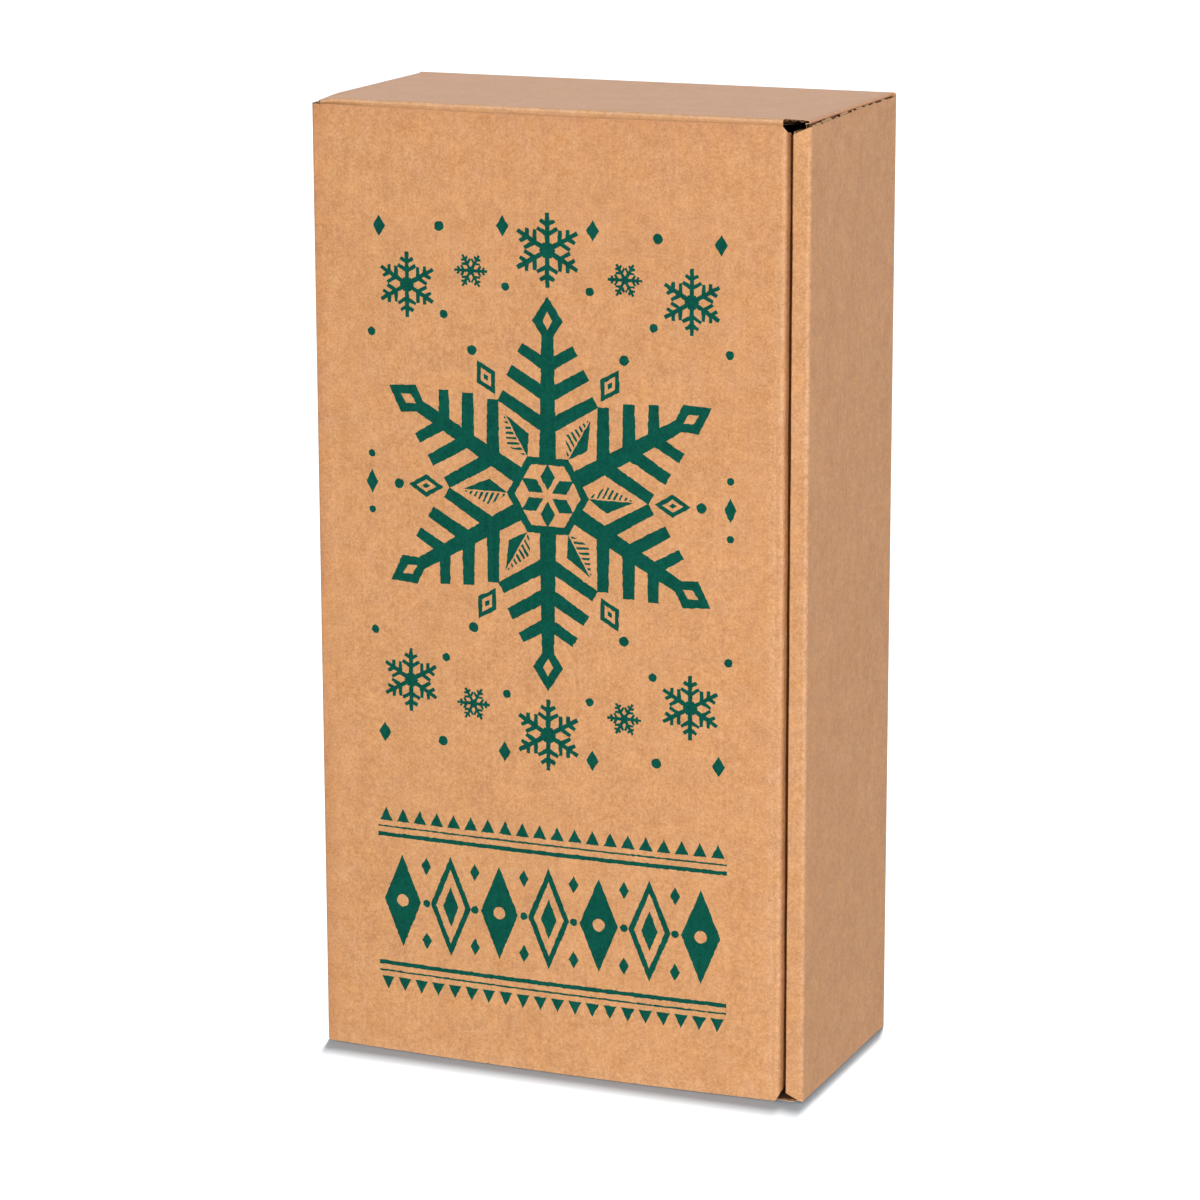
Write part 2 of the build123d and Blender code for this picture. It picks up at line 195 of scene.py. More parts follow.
def inside(points, loop):
    """Which points lie in the closed loop, by even-odd."""
    x, y = points[:, 0], points[:, 1]
    loop = np.asarray(loop, float)
    hit = np.zeros(len(points), bool)
    near = (x >= loop[:, 0].min()) & (x <= loop[:, 0].max()) & (y >= loop[:, 1].min()) & (y <= loop[:, 1].max())
    idx = np.nonzero(near)[0]
    if not len(idx):
        return hit
    px, py = x[idx], y[idx]
    res = np.zeros(len(idx), bool)
    for (x0, y0), (x1, y1) in zip(loop, np.roll(loop, -1, 0)):
        if y0 == y1:
            continue
        cross = (y0 > py) != (y1 > py)
        res ^= cross & (px < (x1 - x0) * (py - y0) / (y1 - y0) + x0)
    hit[idx] = res
    return hit


def rim_of(outline, step, rough):
    """Points along a polygon of (a, b, kind). A side of kind raw is a cut edge,
    a little uneven, and one of kind butt meets the next piece and stays true."""
    pts = []
    n = len(outline)
    area = sum(outline[i][0] * outline[(i + 1) % n][1] - outline[(i + 1) % n][0] * outline[i][1] for i in range(n))
    sign = 1 if area > 0 else -1
    for i in range(n):
        a0, b0, kind = outline[i]
        a1, b1, _ = outline[(i + 1) % n]
        length = math.hypot(a1 - a0, b1 - b0)
        raw = kind == "raw"
        parts = max(1, int(round(length / (step if raw else 6.0))))
        nx, ny = -(b1 - b0) / length * sign, (a1 - a0) / length * sign
        for k in range(parts):
            t = k / parts
            push = rough * abs(rng.normal()) if raw and k else 0.0
            pts.append((a0 + (a1 - a0) * t + nx * push, b0 + (b1 - b0) * t + ny * push))
    return pts


def cdt(points, loops):
    edges = [(s + i, s + (i + 1) % n) for s, n in loops for i in range(n)]
    got = delaunay_2d_cdt([Vector(p) for p in points], edges, [], 0, 1e-5, True)
    where = {}
    for new, olds in enumerate(got[3]):
        for old in olds:
            where[old] = new
    return np.array([v[:] for v in got[0]]), got[2], where


def slab(P, M, outline, c0, c1, mats=(0, 1, 2), holes=(), cell=14.0, shapes=(), ink=3, wear_and_painted_light=None, rough=0.05, columns=()):
    """A sheet between heights c0 and c1 over the outline, as one closed shell.
    shapes are lists of loops whose inside takes the ink's material on top."""
    rims = [rim_of(outline, 1.7, rough)] + [rim_of(h, 1.7, 0.0) for h in holes]
    sides = [np.array(r) for r in rims]
    lo, hi = sides[0].min(0), sides[0].max(0)
    nx, ny = (max(1, int(round((hi[i] - lo[i]) / cell))) for i in (0, 1))
    ga = list(lo[0] + (hi[0] - lo[0]) * np.arange(1, nx) / nx) + [c for c in columns if lo[0] < c < hi[0]]
    gb = lo[1] + (hi[1] - lo[1]) * np.arange(1, ny) / ny
    if ga and len(gb):
        grid = np.array([(a, b) for a in ga for b in gb])
        grid = grid + rng.uniform(-0.01, 0.01, grid.shape)
        ok = inside(grid, sides[0])
        for s in sides[1:]:
            ok &= ~inside(grid, s)
        every = np.concatenate(sides)
        for i in np.nonzero(ok)[0]:
            if (np.abs(every - grid[i]).max(1) < 0.9).any():
                ok[i] = False
        grid = grid[ok]
    else:
        grid = np.zeros((0, 2))
    base, loops, start = [], [], 0
    for s in sides:
        loops.append((start, len(s)))
        base += [tuple(p) for p in s]
        start += len(s)

    def face(extra):
        pts, lps, at = list(base) + [tuple(g) for g in grid], list(loops), len(base) + len(grid)
        for loop in extra:
            lps.append((at, len(loop)))
            pts += [tuple(p) for p in loop]
            at += len(loop)
        v, f, where = cdt(pts, lps)
        f = [t for t in f if len(t) >= 3]
        mid = np.array([v[list(t)].mean(0) for t in f])
        keep = inside(mid, sides[0])
        for s in sides[1:]:
            keep &= ~inside(mid, s)
        return v, [t for t, k in zip(f, keep) if k], mid[keep], where

    top_v, top_f, top_mid, top_at = face([loop for shape in shapes for loop in shape])
    low_v, low_f, _, low_at = face([])
    inked = np.zeros(len(top_f), bool)
    for shape in shapes:
        part = np.zeros(len(top_f), bool)
        for loop in shape:
            part ^= inside(top_mid, loop)
        inked |= part
    nt = len(top_v)
    verts = np.concatenate([M(top_v[:, 0], top_v[:, 1], np.full(len(top_v), c1)), M(low_v[:, 0], low_v[:, 1], np.full(len(low_v), c0))])
    faces = [list(t) for t in top_f] + [[nt + i for i in t] for t in low_f]
    mi = [ink if k else mats[0] for k in inked] + [mats[1]] * len(low_f)
    for s, n in loops:
        for i in range(n):
            a, b = s + i, s + (i + 1) % n
            faces.append([top_at[a], top_at[b], nt + low_at[b], nt + low_at[a]])
            mi.append(mats[2])
    used = np.unique([i for f in faces for i in f])
    new = {int(o): k for k, o in enumerate(used)}
    ab = np.concatenate([top_v, low_v])[used]
    P.add(verts[used], [[new[int(i)] for i in f] for f in faces], mi, None if wear_and_painted_light is None else wear_and_painted_light(ab[:, 0], ab[:, 1]))


def flute(P, M, s0, s1, lo, hi, mat=2, c0=LINER, c1=None, inset=0.15, phase=0.0, per=12, parts=1):
    """The fluted sheet of a board: a wave along a, straight along b."""
    c1 = T - LINER if c1 is None else c1
    th = 0.14
    amp, mid = (c1 - c0 - th) / 2, (c0 + c1) / 2
    n = max(4, int((s1 - s0) / PITCH * per))
    s = np.linspace(s0, s1, n + 1)
    k = 2 * np.pi / PITCH
    c = mid + amp * np.sin(k * s + phase)
    slope = amp * k * np.cos(k * s + phase)
    nrm = np.sqrt(1 + slope**2)
    b0 = np.array([lo(x) for x in s]) + inset
    b1 = np.array([hi(x) for x in s]) - inset
    rows = []
    for j in range(parts + 1):
        t = j / parts
        b = b0 + (b1 - b0) * t
        for side in (1, -1):
            rows.append(M(np.clip(s - side * slope / nrm * th / 2, s0, s1), b, c + side * th / 2 / nrm))
    verts = np.concatenate(rows)
    m = n + 1
    faces = []
    for j in range(parts):
        up, dn, up2, dn2 = (2 * j) * m, (2 * j + 1) * m, (2 * j + 2) * m, (2 * j + 3) * m
        for i in range(n):
            faces.append([up + i, up + i + 1, up2 + i + 1, up2 + i])
            faces.append([dn + i, dn2 + i, dn2 + i + 1, dn + i + 1])
        faces.append([up, up2, dn2, dn])
        faces.append([up + n, dn + n, dn2 + n, up2 + n])
    up, dn = 0, m
    faces += [[up + i, dn + i, dn + i + 1, up + i + 1] for i in range(n)]
    up, dn = 2 * parts * m, (2 * parts + 1) * m
    faces += [[up + i, up + i + 1, dn + i + 1, dn + i] for i in range(n)]
    P.add(verts, faces, [mat] * len(faces))


def extrude(P, prof, place, parts, mats, cap=2, wear_light_level=1.0):
    """A closed profile carried along a length. place(x, y, t) gives the point."""
    prof = list(prof)
    n = len(prof)
    x, y = np.array([p[0] for p in prof]), np.array([p[1] for p in prof])
    w = np.array([p[3] for p in prof])
    verts = np.concatenate([place(x, y, t) for t in np.linspace(0, 1, parts + 1)])
    faces, mi = [], []
    for j in range(parts):
        for i in range(n):
            k = (i + 1) % n
            faces.append([j * n + i, j * n + k, (j + 1) * n + k, (j + 1) * n + i])
            mi.append(mats[prof[i][2]])
    faces += [list(range(n))[::-1], [parts * n + i for i in range(n)]]
    mi += [cap, cap]
    P.add(verts, faces, mi, np.tile(w, parts + 1) * wear_light_level)


def strip_of(prof, th):
    """A thin closed profile that follows an open path, th thick, to its left."""
    p = np.array([q[:2] for q in prof])
    d = np.gradient(p, axis=0)
    d /= np.linalg.norm(d, axis=1)[:, None]
    nrm = np.stack([-d[:, 1], d[:, 0]], 1)
    q = p + nrm * th
    return [(*a, 0, r[3]) for a, r in zip(p, prof)] + [(*a, 1, 0.0) for a in q[::-1]]


# ---- materials ------------------------------------------------------------
class Nodes:
    """Short names for making a node tree."""

    def __init__(self, name):
        self.mat = bpy.data.materials.new(name)
        self.mat.use_nodes = True
        self.t = self.mat.node_tree
        self.t.nodes.clear()
        self.out = self.t.nodes.new("ShaderNodeOutputMaterial")
        self.bsdf = self.t.nodes.new("ShaderNodeBsdfPrincipled")
        self.t.links.new(self.bsdf.outputs[0], self.out.inputs[0])

    def set(self, socket, value):
        if isinstance(value, bpy.types.NodeSocket):
            self.t.links.new(value, socket)
        else:
            socket.default_value = value

    def math(self, op, a, b=0.0, c=0.0, clamp=False):
        n = self.t.nodes.new("ShaderNodeMath")
        n.operation, n.use_clamp = op, clamp
        for s, v in zip(n.inputs, (a, b, c)):
            self.set(s, v)
        return n.outputs[0]

    def vec(self, op, a, b=(0, 0, 0), scale=None):
        n = self.t.nodes.new("ShaderNodeVectorMath")
        n.operation = op
        self.set(n.inputs[0], a)
        if scale is None:
            self.set(n.inputs[1], b)
        else:
            self.set(n.inputs["Scale"], scale)
        return n.outputs[0]

    def noise(self, vector, scale, detail=2.0, rough=0.5, distortion=0.0):
        n = self.t.nodes.new("ShaderNodeTexNoise")
        for k, v in (("Vector", vector), ("Scale", scale), ("Detail", detail), ("Roughness", rough), ("Distortion", distortion)):
            self.set(n.inputs[k], v)
        return n.outputs[0]

    def mix(self, fac, a, b, blend="MIX"):
        n = self.t.nodes.new("ShaderNodeMix")
        n.data_type, n.blend_type = "RGBA", blend
        self.set(n.inputs[0], fac)
        self.set(n.inputs[6], a)
        self.set(n.inputs[7], b)
        return n.outputs[2]

    def span(self, value, a, b, c=0.0, d=1.0, kind="SMOOTHSTEP"):
        n = self.t.nodes.new("ShaderNodeMapRange")
        n.interpolation_type = kind
        for s, v in zip(n.inputs[:5], (value, a, b, c, d)):
            self.set(s, v)
        return n.outputs[0]


def paper_fields(n, along):
    """The shared patterns of kraft paper, in millimetres on the object. along
    is the flutes' direction, which the paper's machine direction crosses."""
    place = n.t.nodes.new("ShaderNodeTexCoord").outputs["Object"]
    pos = n.vec("SCALE", place, scale=1000.0)
    long = {"z": (1.0, 1.0, 0.07), "y": (1.0, 0.07, 1.0)}[along]
    streaks = n.vec("MULTIPLY", pos, long)
    xyz = n.t.nodes.new("ShaderNodeSeparateXYZ")
    n.set(xyz.inputs[0], pos)
    across = n.math("ADD", xyz.outputs[0], xyz.outputs[1]) if along == "z" else xyz.outputs[0]
    wave = n.math("SINE", n.math("MULTIPLY", across, 2 * math.pi / PITCH))
    return pos, {
        "cloud": n.noise(pos, 0.4, 2.0, 0.6, 0.3),
        "field": n.noise(pos, 0.03, 2.0, 0.5),
        "mottle": n.noise(n.vec("ADD", pos, (11.3, 4.9, 7.1)), 0.10, 6.0, 0.85),
        "grain": n.noise(pos, 1.1, 2.0, 0.75),
        "streak": n.noise(streaks, 0.75, 3.0, 0.6),
        "wave": wave,
    }


def total(n, fields, parts):
    """0.5 plus each pattern's share, so that it stays centred."""
    value = 0.5
    for key, share in parts.items():
        if key == "wave":
            value = n.math("MULTIPLY_ADD", fields[key], share, value)
        else:
            value = n.math("MULTIPLY_ADD", n.math("SUBTRACT", fields[key], 0.5), share, value)
    return value


def specks(n, pos, cell, share, size):
    """Rare small spots: about share of the cells hold one, of up to that size."""
    v = n.t.nodes.new("ShaderNodeTexVoronoi")
    v.feature = "F1"
    n.set(v.inputs["Vector"], n.vec("ADD", pos, n.vec("SCALE", pos, scale=0.0)))
    n.set(v.inputs["Scale"], 1.0 / cell)
    s = n.t.nodes.new("ShaderNodeSeparateColor")
    n.set(s.inputs[0], v.outputs["Color"])
    chosen = n.span(s.outputs[0], 1 - share, 1.0, 0.25, 1.0, "LINEAR")
    chosen = n.math("MULTIPLY", chosen, n.math("GREATER_THAN", s.outputs[0], 1 - share))
    radius = n.math("MULTIPLY", chosen, size / cell)
    return n.span(n.math("DIVIDE", v.outputs["Distance"], n.math("ADD", radius, 1e-4)), 0.5, 1.0, 1.0, 0.0)


def kraft(name, base, along="z", contrast=1.0, rough=0.56, spots=1.0, pale=1.13):
    n = Nodes(name)
    pos, f = paper_fields(n, along)
    shares = {"cloud": 0.9, "field": 0.2, "mottle": 1.5, "grain": 2.1, "streak": 0.42}
    tone = total(n, f, dict({k: v * contrast for k, v in shares.items()}, wave=0.015))
    dark = [c * k for c, k in zip(base, (0.814, 0.745, 0.64))] + [1]
    light = [c * k for c, k in zip(base, (1.186, 1.255, 1.36))] + [1]
    colour = n.mix(n.span(tone, 0.0, 1.0, kind="LINEAR"), dark, light)
    # the shade turns a little redder or greyer from place to place
    hue = n.noise(n.vec("ADD", pos, (5.7, 2.3, 9.4)), 0.11, 3.0, 0.55)
    colour = n.mix(n.span(hue, 0.25, 0.75, kind="LINEAR"), n.mix(1.0, colour, (1.02, 0.995, 0.88, 1), "MULTIPLY"), n.mix(1.0, colour, (0.98, 1.005, 1.12, 1), "MULTIPLY"))
    # painted highlight and pale rubbing along the creases: positive values of the per-point attribute lighten and
    # whiten the colour
    wear_light_level = n.t.nodes.new("ShaderNodeAttribute")
    wear_light_level.attribute_name = "wear_and_painted_light"
    rub_and_light = n.math("MULTIPLY", wear_light_level.outputs["Fac"], n.span(total(n, f, {"grain": 1.0, "cloud": 1.2}), 0.1, 0.9, 0.6, 1.0))
    colour = n.mix(n.math("MAXIMUM", rub_and_light, 0.0), colour, n.mix(1.0, colour, (pale * 0.985, pale * 1.165, pale * 1.57, 1), "MULTIPLY"))
    # and painted shade where the value is below nought: darker, browner paper
    colour = n.mix(n.math("MAXIMUM", n.math("MULTIPLY", rub_and_light, -1.0), 0.0), colour, n.mix(1.0, colour, (0.92, 0.865, 0.85, 1), "MULTIPLY"))
    # below minus one: deep painted shade, near black, where shade gathers
    deep_painted_shade = n.math("SUBTRACT", n.math("MULTIPLY", wear_light_level.outputs["Fac"], -1.0), 1.0, clamp=True)
    colour = n.mix(deep_painted_shade, colour, n.mix(1.0, colour, (0.16, 0.12, 0.1, 1), "MULTIPLY"))
    # dark flecks of bark and a few pale ones
    colour = n.mix(n.math("MULTIPLY", specks(n, pos, 7.0, 0.16 * spots, 0.42), 0.62), colour, (0.13, 0.062, 0.03, 1))
    colour = n.mix(n.math("MULTIPLY", specks(n, n.vec("ADD", pos, (3.1, 7.7, 1.9)), 4.6, 0.2 * spots, 0.3), 0.35), colour, (0.62, 0.4, 0.24, 1))
    n.set(n.bsdf.inputs["Base Color"], colour)
    n.set(n.bsdf.inputs["Roughness"], n.math("MULTIPLY_ADD", n.math("SUBTRACT", f["grain"], 0.5), 0.25, rough))
    n.bsdf.inputs["Specular IOR Level"].default_value = 0.65
    bump = n.t.nodes.new("ShaderNodeBump")
    bump.inputs["Strength"].default_value = 1.0
    bump.inputs["Distance"].default_value = 0.001
    height = n.math("MULTIPLY", f["grain"], 0.05)
    height = n.math("MULTIPLY_ADD", f["streak"], 0.05, height)
    height = n.math("MULTIPLY_ADD", f["cloud"], 0.06, height)
    height = n.math("MULTIPLY_ADD", f["wave"], 0.004, height)
    n.set(bump.inputs["Height"], height)
    n.set(n.bsdf.inputs["Normal"], bump.outputs[0])
    return n.mat


def cut_edge(name, base, rough=0.8):
    """Raw paper at a cut edge, and the fluted sheet: fuzzy and a little uneven."""
    n = Nodes(name)
    place = n.t.nodes.new("ShaderNodeTexCoord").outputs["Object"]
    pos = n.vec("SCALE", place, scale=1000.0)
    a, b = n.noise(pos, 0.9, 3.0, 0.6), n.noise(pos, 5.0, 2.0, 0.6)
    tone = n.math("ADD", n.math("MULTIPLY", a, 0.7), n.math("MULTIPLY", b, 0.5))
    colour = n.mix(n.span(tone, 0.3, 0.9, kind="LINEAR"), [c * 0.68 for c in base] + [1], [c * 1.22 for c in base] + [1])
    wear_light_level = n.t.nodes.new("ShaderNodeAttribute")
    wear_light_level.attribute_name = "wear_and_painted_light"
    # below minus one: deep painted shade, near black, as in the kraft
    deep_painted_shade = n.math("SUBTRACT", n.math("MULTIPLY", wear_light_level.outputs["Fac"], -1.0), 1.0, clamp=True)
    colour = n.mix(deep_painted_shade, colour, n.mix(1.0, colour, (0.16, 0.12, 0.1, 1), "MULTIPLY"))
    n.set(n.bsdf.inputs["Base Color"], colour)
    n.set(n.bsdf.inputs["Roughness"], n.math("MULTIPLY_ADD", a, 0.2, rough - 0.1))
    n.bsdf.inputs["Specular IOR Level"].default_value = 0.3
    bump = n.t.nodes.new("ShaderNodeBump")
    bump.inputs["Strength"].default_value = 1.0
    bump.inputs["Distance"].default_value = 0.001
    n.set(bump.inputs["Height"], n.math("MULTIPLY_ADD", b, 0.06, n.math("MULTIPLY", a, 0.1)))
    n.set(n.bsdf.inputs["Normal"], bump.outputs[0])
    return n.mat


def ink(name, base, under):
    """Opaque green print on the paper, thinner here and there, with pinholes."""
    n = Nodes(name)
    pos, f = paper_fields(n, "z")
    tone = total(n, f, {"cloud": 0.9, "grain": 1.6, "mottle": 1.2, "streak": 0.4, "wave": 0.03})
    dark = [c * 0.72 for c in base] + [1]
    light = [min(1, c * 1.35 + 0.002) for c in base] + [1]
    colour = n.mix(n.span(tone, 0.0, 1.0, kind="LINEAR"), dark, light)
    thin = n.span(n.noise(pos, 2.6, 3.0, 0.7), 0.66, 0.8)
    colour = n.mix(n.math("MULTIPLY", thin, 0.35), colour, [c * 0.6 for c in under] + [1])
    n.set(n.bsdf.inputs["Base Color"], colour)
    n.set(n.bsdf.inputs["Roughness"], n.math("MULTIPLY_ADD", n.math("SUBTRACT", f["grain"], 0.5), 0.25, 0.62))
    n.bsdf.inputs["Specular IOR Level"].default_value = 0.04
    bump = n.t.nodes.new("ShaderNodeBump")
    bump.inputs["Strength"].default_value = 1.0
    bump.inputs["Distance"].default_value = 0.001
    height = n.math("MULTIPLY_ADD", f["cloud"], 0.05, n.math("MULTIPLY", f["grain"], 0.045))
    n.set(bump.inputs["Height"], height)
    n.set(n.bsdf.inputs["Normal"], bump.outputs[0])
    return n.mat


OUT = (0.50, 0.2385, 0.089)      # outer liner
INN = (0.47, 0.245, 0.105)      # inner liner, a little greyer
kraft_z = kraft("kraft_outside_upright", OUT, "z")
kraft_side = kraft("kraft_outside_side", OUT, "z", 0.95)
kraft_y = kraft("kraft_outside_ends", OUT, "y", 0.6)
# the top's copy of the outer kraft is a little redder and bluer, as painted light on the top face
kraft_top_lit = kraft("kraft_outside_top_lit", (0.51, 0.2355, 0.0947), "y", 0.6)
kraft_in_z = kraft("kraft_inside_upright", INN, "z", 1.15, 0.62, 1.6, 1.08)
kraft_in_y = kraft("kraft_inside_ends", INN, "y", 1.15, 0.62, 1.6, 1.08)
kraft_div = kraft("kraft_divider", (0.46, 0.245, 0.11), "z", 1.3, 0.64, 2.0, 1.08)
raw = cut_edge("cut_paper", (0.60, 0.36, 0.19))
medium = cut_edge("fluted_paper", (0.42, 0.235, 0.115))
green = ink("green_print", (0.0007, 0.061, 0.041), OUT)

UP = [kraft_z, kraft_in_z, raw, medium, green]
SIDE = [kraft_side, kraft_in_z, raw, medium]
ENDS = [kraft_y, kraft_in_y, raw, medium]
TOP = [kraft_top_lit, kraft_in_y, raw, medium]
DIV = [kraft_div, kraft_div, raw, medium]
O, I, R, F, G = 0, 1, 2, 3, 4


# ---- the print: a geometric snow crystal, small flakes and a woven band ---
def turned(points, angle, cx=0.0, cy=0.0):
    c, s = math.cos(angle), math.sin(angle)
    return [(cx + x * c - y * s, cy + x * s + y * c) for x, y in points]


def bar(r0, t0, r1, t1, w0, w1):
    """A tapered bar from (r0, t0) to (r1, t1)."""
    d = np.array((r1 - r0, t1 - t0), float)
    d /= np.linalg.norm(d)
    nx, ny = -d[1], d[0]
    return [
        (r0 + nx * w0 / 2, t0 + ny * w0 / 2), (r0 - nx * w0 / 2, t0 - ny * w0 / 2),
        (r1 - nx * w1 / 2, t1 - ny * w1 / 2), (r1 + nx * w1 / 2, t1 + ny * w1 / 2),
    ]


def rhomb(cx, cy, hx, hy):
    return [(cx - hx, cy), (cx, cy - hy), (cx + hx, cy), (cx, cy + hy)]


def disc(cx, cy, r, n=16):
    return [(cx + r * math.cos(2 * math.pi * k / n), cy + r * math.sin(2 * math.pi * k / n)) for k in range(n)]


def clip(poly, point, normal):
    """The part of a convex polygon on the normal's side of a line."""
    out = []
    for i, p in enumerate(poly):
        q = poly[(i + 1) % len(poly)]
        a = (p[0] - point[0]) * normal[0] + (p[1] - point[1]) * normal[1]
        b = (q[0] - point[0]) * normal[0] + (q[1] - point[1]) * normal[1]
        if a >= 0:
            out.append(p)
        if (a > 0 > b) or (a < 0 < b):
            t = a / (a - b)
            out.append((p[0] + (q[0] - p[0]) * t, p[1] + (q[1] - p[1]) * t))
    return out


def hatched(poly, slope, gap, width, start=0.0):
    """Thin bars across a convex polygon."""
    c, s = math.cos(slope), math.sin(slope)
    n = (-s, c)
    d = [p[0] * n[0] + p[1] * n[1] for p in poly]
    at, found = min(d) + start, []
    while at < max(d):
        piece = clip(poly, (n[0] * at, n[1] * at), n)
        if len(piece) > 2:
            piece = clip(piece, (n[0] * (at + width), n[1] * (at + width)), (-n[0], -n[1]))
        if len(piece) > 2:
            found.append(piece)
        at += gap
    return found


def flake(cx, cy, size, turn=0.0, fat=1.0):
    out = []
    for k in range(6):
        a = turn + k * math.pi / 3
        w = 0.15 * size * fat
        local = [bar(0.0, 0, size, 0, w, w * 0.8)]
        for r0, ln in ((0.42, 0.34), (0.68, 0.24)):
            for s in (1, -1):
                local.append(bar(r0 * size, 0, (r0 + ln * 0.5) * size, s * ln * 0.87 * size, w * 0.9, w * 0.7))
        out += [[turned(p, a, cx, cy)] for p in local]
    out.append([turned([(0.24 * size * math.cos(math.pi / 3 * k), 0.24 * size * math.sin(math.pi / 3 * k)) for k in range(6)], turn + math.pi / 6, cx, cy)])
    return out


def crystal(cx, cy):
    out = []
    for k in range(6):
        a = math.pi / 2 + k * math.pi / 3
        arm = [
            [bar(13.5, 0, 60.0, 0, 6.6, 4.8)],
            [rhomb(64.0, 0, 9.0, 6.0), rhomb(64.0, 0, 3.4, 1.9)],
            [rhomb(6.9, 0, 4.9, 2.9)],
        ]
        for r0, ln, w in ((25.0, 21.5, 5.2), (36.5, 17.5, 5.2), (47.5, 12.5, 4.6)):
            for s in (1, -1):
                arm.append([bar(r0, 0, r0 + ln * 0.5, s * ln * 0.866, w, w * 0.86)])
        out += [[turned(loop, a, cx, cy) for loop in shape] for shape in arm]
        # leaves between the arms: one half solid, the other half in fine bars
        b = a + math.pi / 6
        tip, root, side = (33.5, 0), (16.0, 0), 4.7
        half_a = [root, (23.0, -side), tip]
        half_b = [root, tip, (23.0, side)]
        leaf = [[half_a]] + [[h] for h in hatched([(x, y + 0.5) for x, y in half_b], math.radians(62), 1.9, 0.85, 0.6)]
        leaf += [[rhomb(48.5, 0, 7.0, 4.3), rhomb(48.5, 0, 4.0, 2.3)], [rhomb(48.5, 0, 1.6, 1.0)]]
        leaf += [[disc(59.5, 0, 1.9)]]
        out += [[turned(loop, b, cx, cy) for loop in shape] for shape in leaf]
    ring = [(math.cos(math.pi / 3 * k), math.sin(math.pi / 3 * k)) for k in range(6)]
    out.append([turned([(x * 16.2, y * 16.2) for x, y in ring], 0, cx, cy), turned([(x * 13.0, y * 13.0) for x, y in ring], 0, cx, cy)])
    return out


def tall_print(cx, cy):
    out = crystal(cx, cy)
    for s in (1, -1):
        out += flake(cx, cy + s * 89.5, 13.5, math.pi / 2)
        for t in (1, -1):
            out += flake(cx + t * 55.5, cy + s * 74.0, 12.0, math.pi / 2)
            out += flake(cx + t * 30.0, cy + s * 80.5, 6.6, 0.0, 1.2)
            out.append([rhomb(cx + t * 17.5, cy + s * 97.5, 2.5, 3.9)])
            out.append([rhomb(cx + t * 66.5, cy + s * 95.0, 2.5, 3.9)])
            out.append([disc(cx + t * 42.5, cy + s * 96.0, 1.9)])
            out.append([disc(cx + t * 16.5, cy + s * 75.5, 1.6)])
            out.append([disc(cx + t * 41.0, cy + s * 64.0, 1.6)])
            out.append([disc(cx + t * 70.0, cy + s * 56.0, 1.6)])
    for t in (1, -1):
        out.append([rhomb(cx + t * 70.5, cy, 2.4, 4.6)])
        out.append([disc(cx + t * 70.5, cy + 10.5, 1.4)])
        out.append([disc(cx + t * 70.5, cy - 10.5, 1.4)])
    return out


def band(cx, cy):
    out, half = [], 70.0
    for s in (1, -1):
        out.append([[(cx - half, cy + s * 24.4), (cx + half, cy + s * 24.4), (cx + half, cy + s * 26.0), (cx - half, cy + s * 26.0)]])
        out.append([[(cx - half, cy + s * 28.0), (cx + half, cy + s * 28.0), (cx + half, cy + s * 28.7), (cx - half, cy + s * 28.7)]])
        for k in range(20):
            x = cx - half + 7.0 * (k + 0.5)
            out.append([[(x - 2.7, cy + s * 30.6), (x + 2.7, cy + s * 30.6), (x, cy + s * 35.8)]])
    for k in range(7):
        x = cx + 20.0 * (k - 3)
        if k % 2:
            out.append([rhomb(x, cy, 8.3, 19.5), rhomb(x, cy, 6.0, 14.4)])
            out.append([rhomb(x, cy, 3.2, 7.8)])
        else:
            out.append([rhomb(x, cy, 7.6, 18.0), disc(x, cy, 2.4)])
    for k in range(6):
        x = cx + 20.0 * (k - 2.5)
        for s in (1, -1):
            out.append([rhomb(x, cy + s * 14.5, 2.0, 3.4)])
        out.append([disc(x, cy, 1.5)])
    return out


def printed(shapes, step=1.1, wobble=0.085):
    """The shapes' outlines cut into short steps, with the slight unevenness of
    ink that has spread into paper."""
    out = []
    for shape in shapes:
        loops = []
        for loop in shape:
            pts = []
            n = len(loop)
            for i in range(n):
                (x0, y0), (x1, y1) = loop[i], loop[(i + 1) % n]
                length = math.hypot(x1 - x0, y1 - y0)
                if length < 1e-6:
                    continue
                parts = max(1, int(round(length / step)))
                nx, ny = -(y1 - y0) / length, (x1 - x0) / length
                for k in range(parts):
                    push = rng.normal() * wobble
                    pts.append((x0 + (x1 - x0) * k / parts + nx * push, y0 + (y1 - y0) * k / parts + ny * push))
            if len(pts) > 2:
                loops.append(pts)
        out.append(loops)
    return out


X_MID = (X_L + X_LID) / 2
shapes = printed(tall_print(X_MID + 1.0, 220.0)) + printed(band(X_MID + 1.0, 60.0))


# ---- boards ---------------------------------------------------------------
def board(P, M, outline, mats=(O, I, R), wave=None, cell=14.0, holes=(), rough=0.05, wear_and_painted_light=None, **kw):
    """Both liners over the outline, and the fluted sheet between them."""
    slab(P, M, outline, T - LINER, T, (mats[0], R, R), holes, cell, rough=rough, wear_and_painted_light=wear_and_painted_light, **kw)
    slab(P, M, outline, 0.0, LINER, (R, mats[1], R), holes, cell, rough=rough)
    for args in wave or ():
        flute(P, M, *args, mat=F)


def rect(a0, b0, a1, b1, low="raw", right="raw", top="raw", left="raw"):
    return [(a0, b0, low), (a1, b0, right), (a1, b1, top), (a0, b1, left)]


def const(v):
    return lambda _: v


def stack(*c):
    return np.stack(np.broadcast_arrays(*[np.asarray(x, float) for x in c]), 1)


made = []


def keep(P, name, slot, mats, body, *nodes):
    o = P.build(name, slot, mats)
    if body:
        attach(o, body)
    if nodes:
        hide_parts(*nodes)
    made.append(o)
    return o


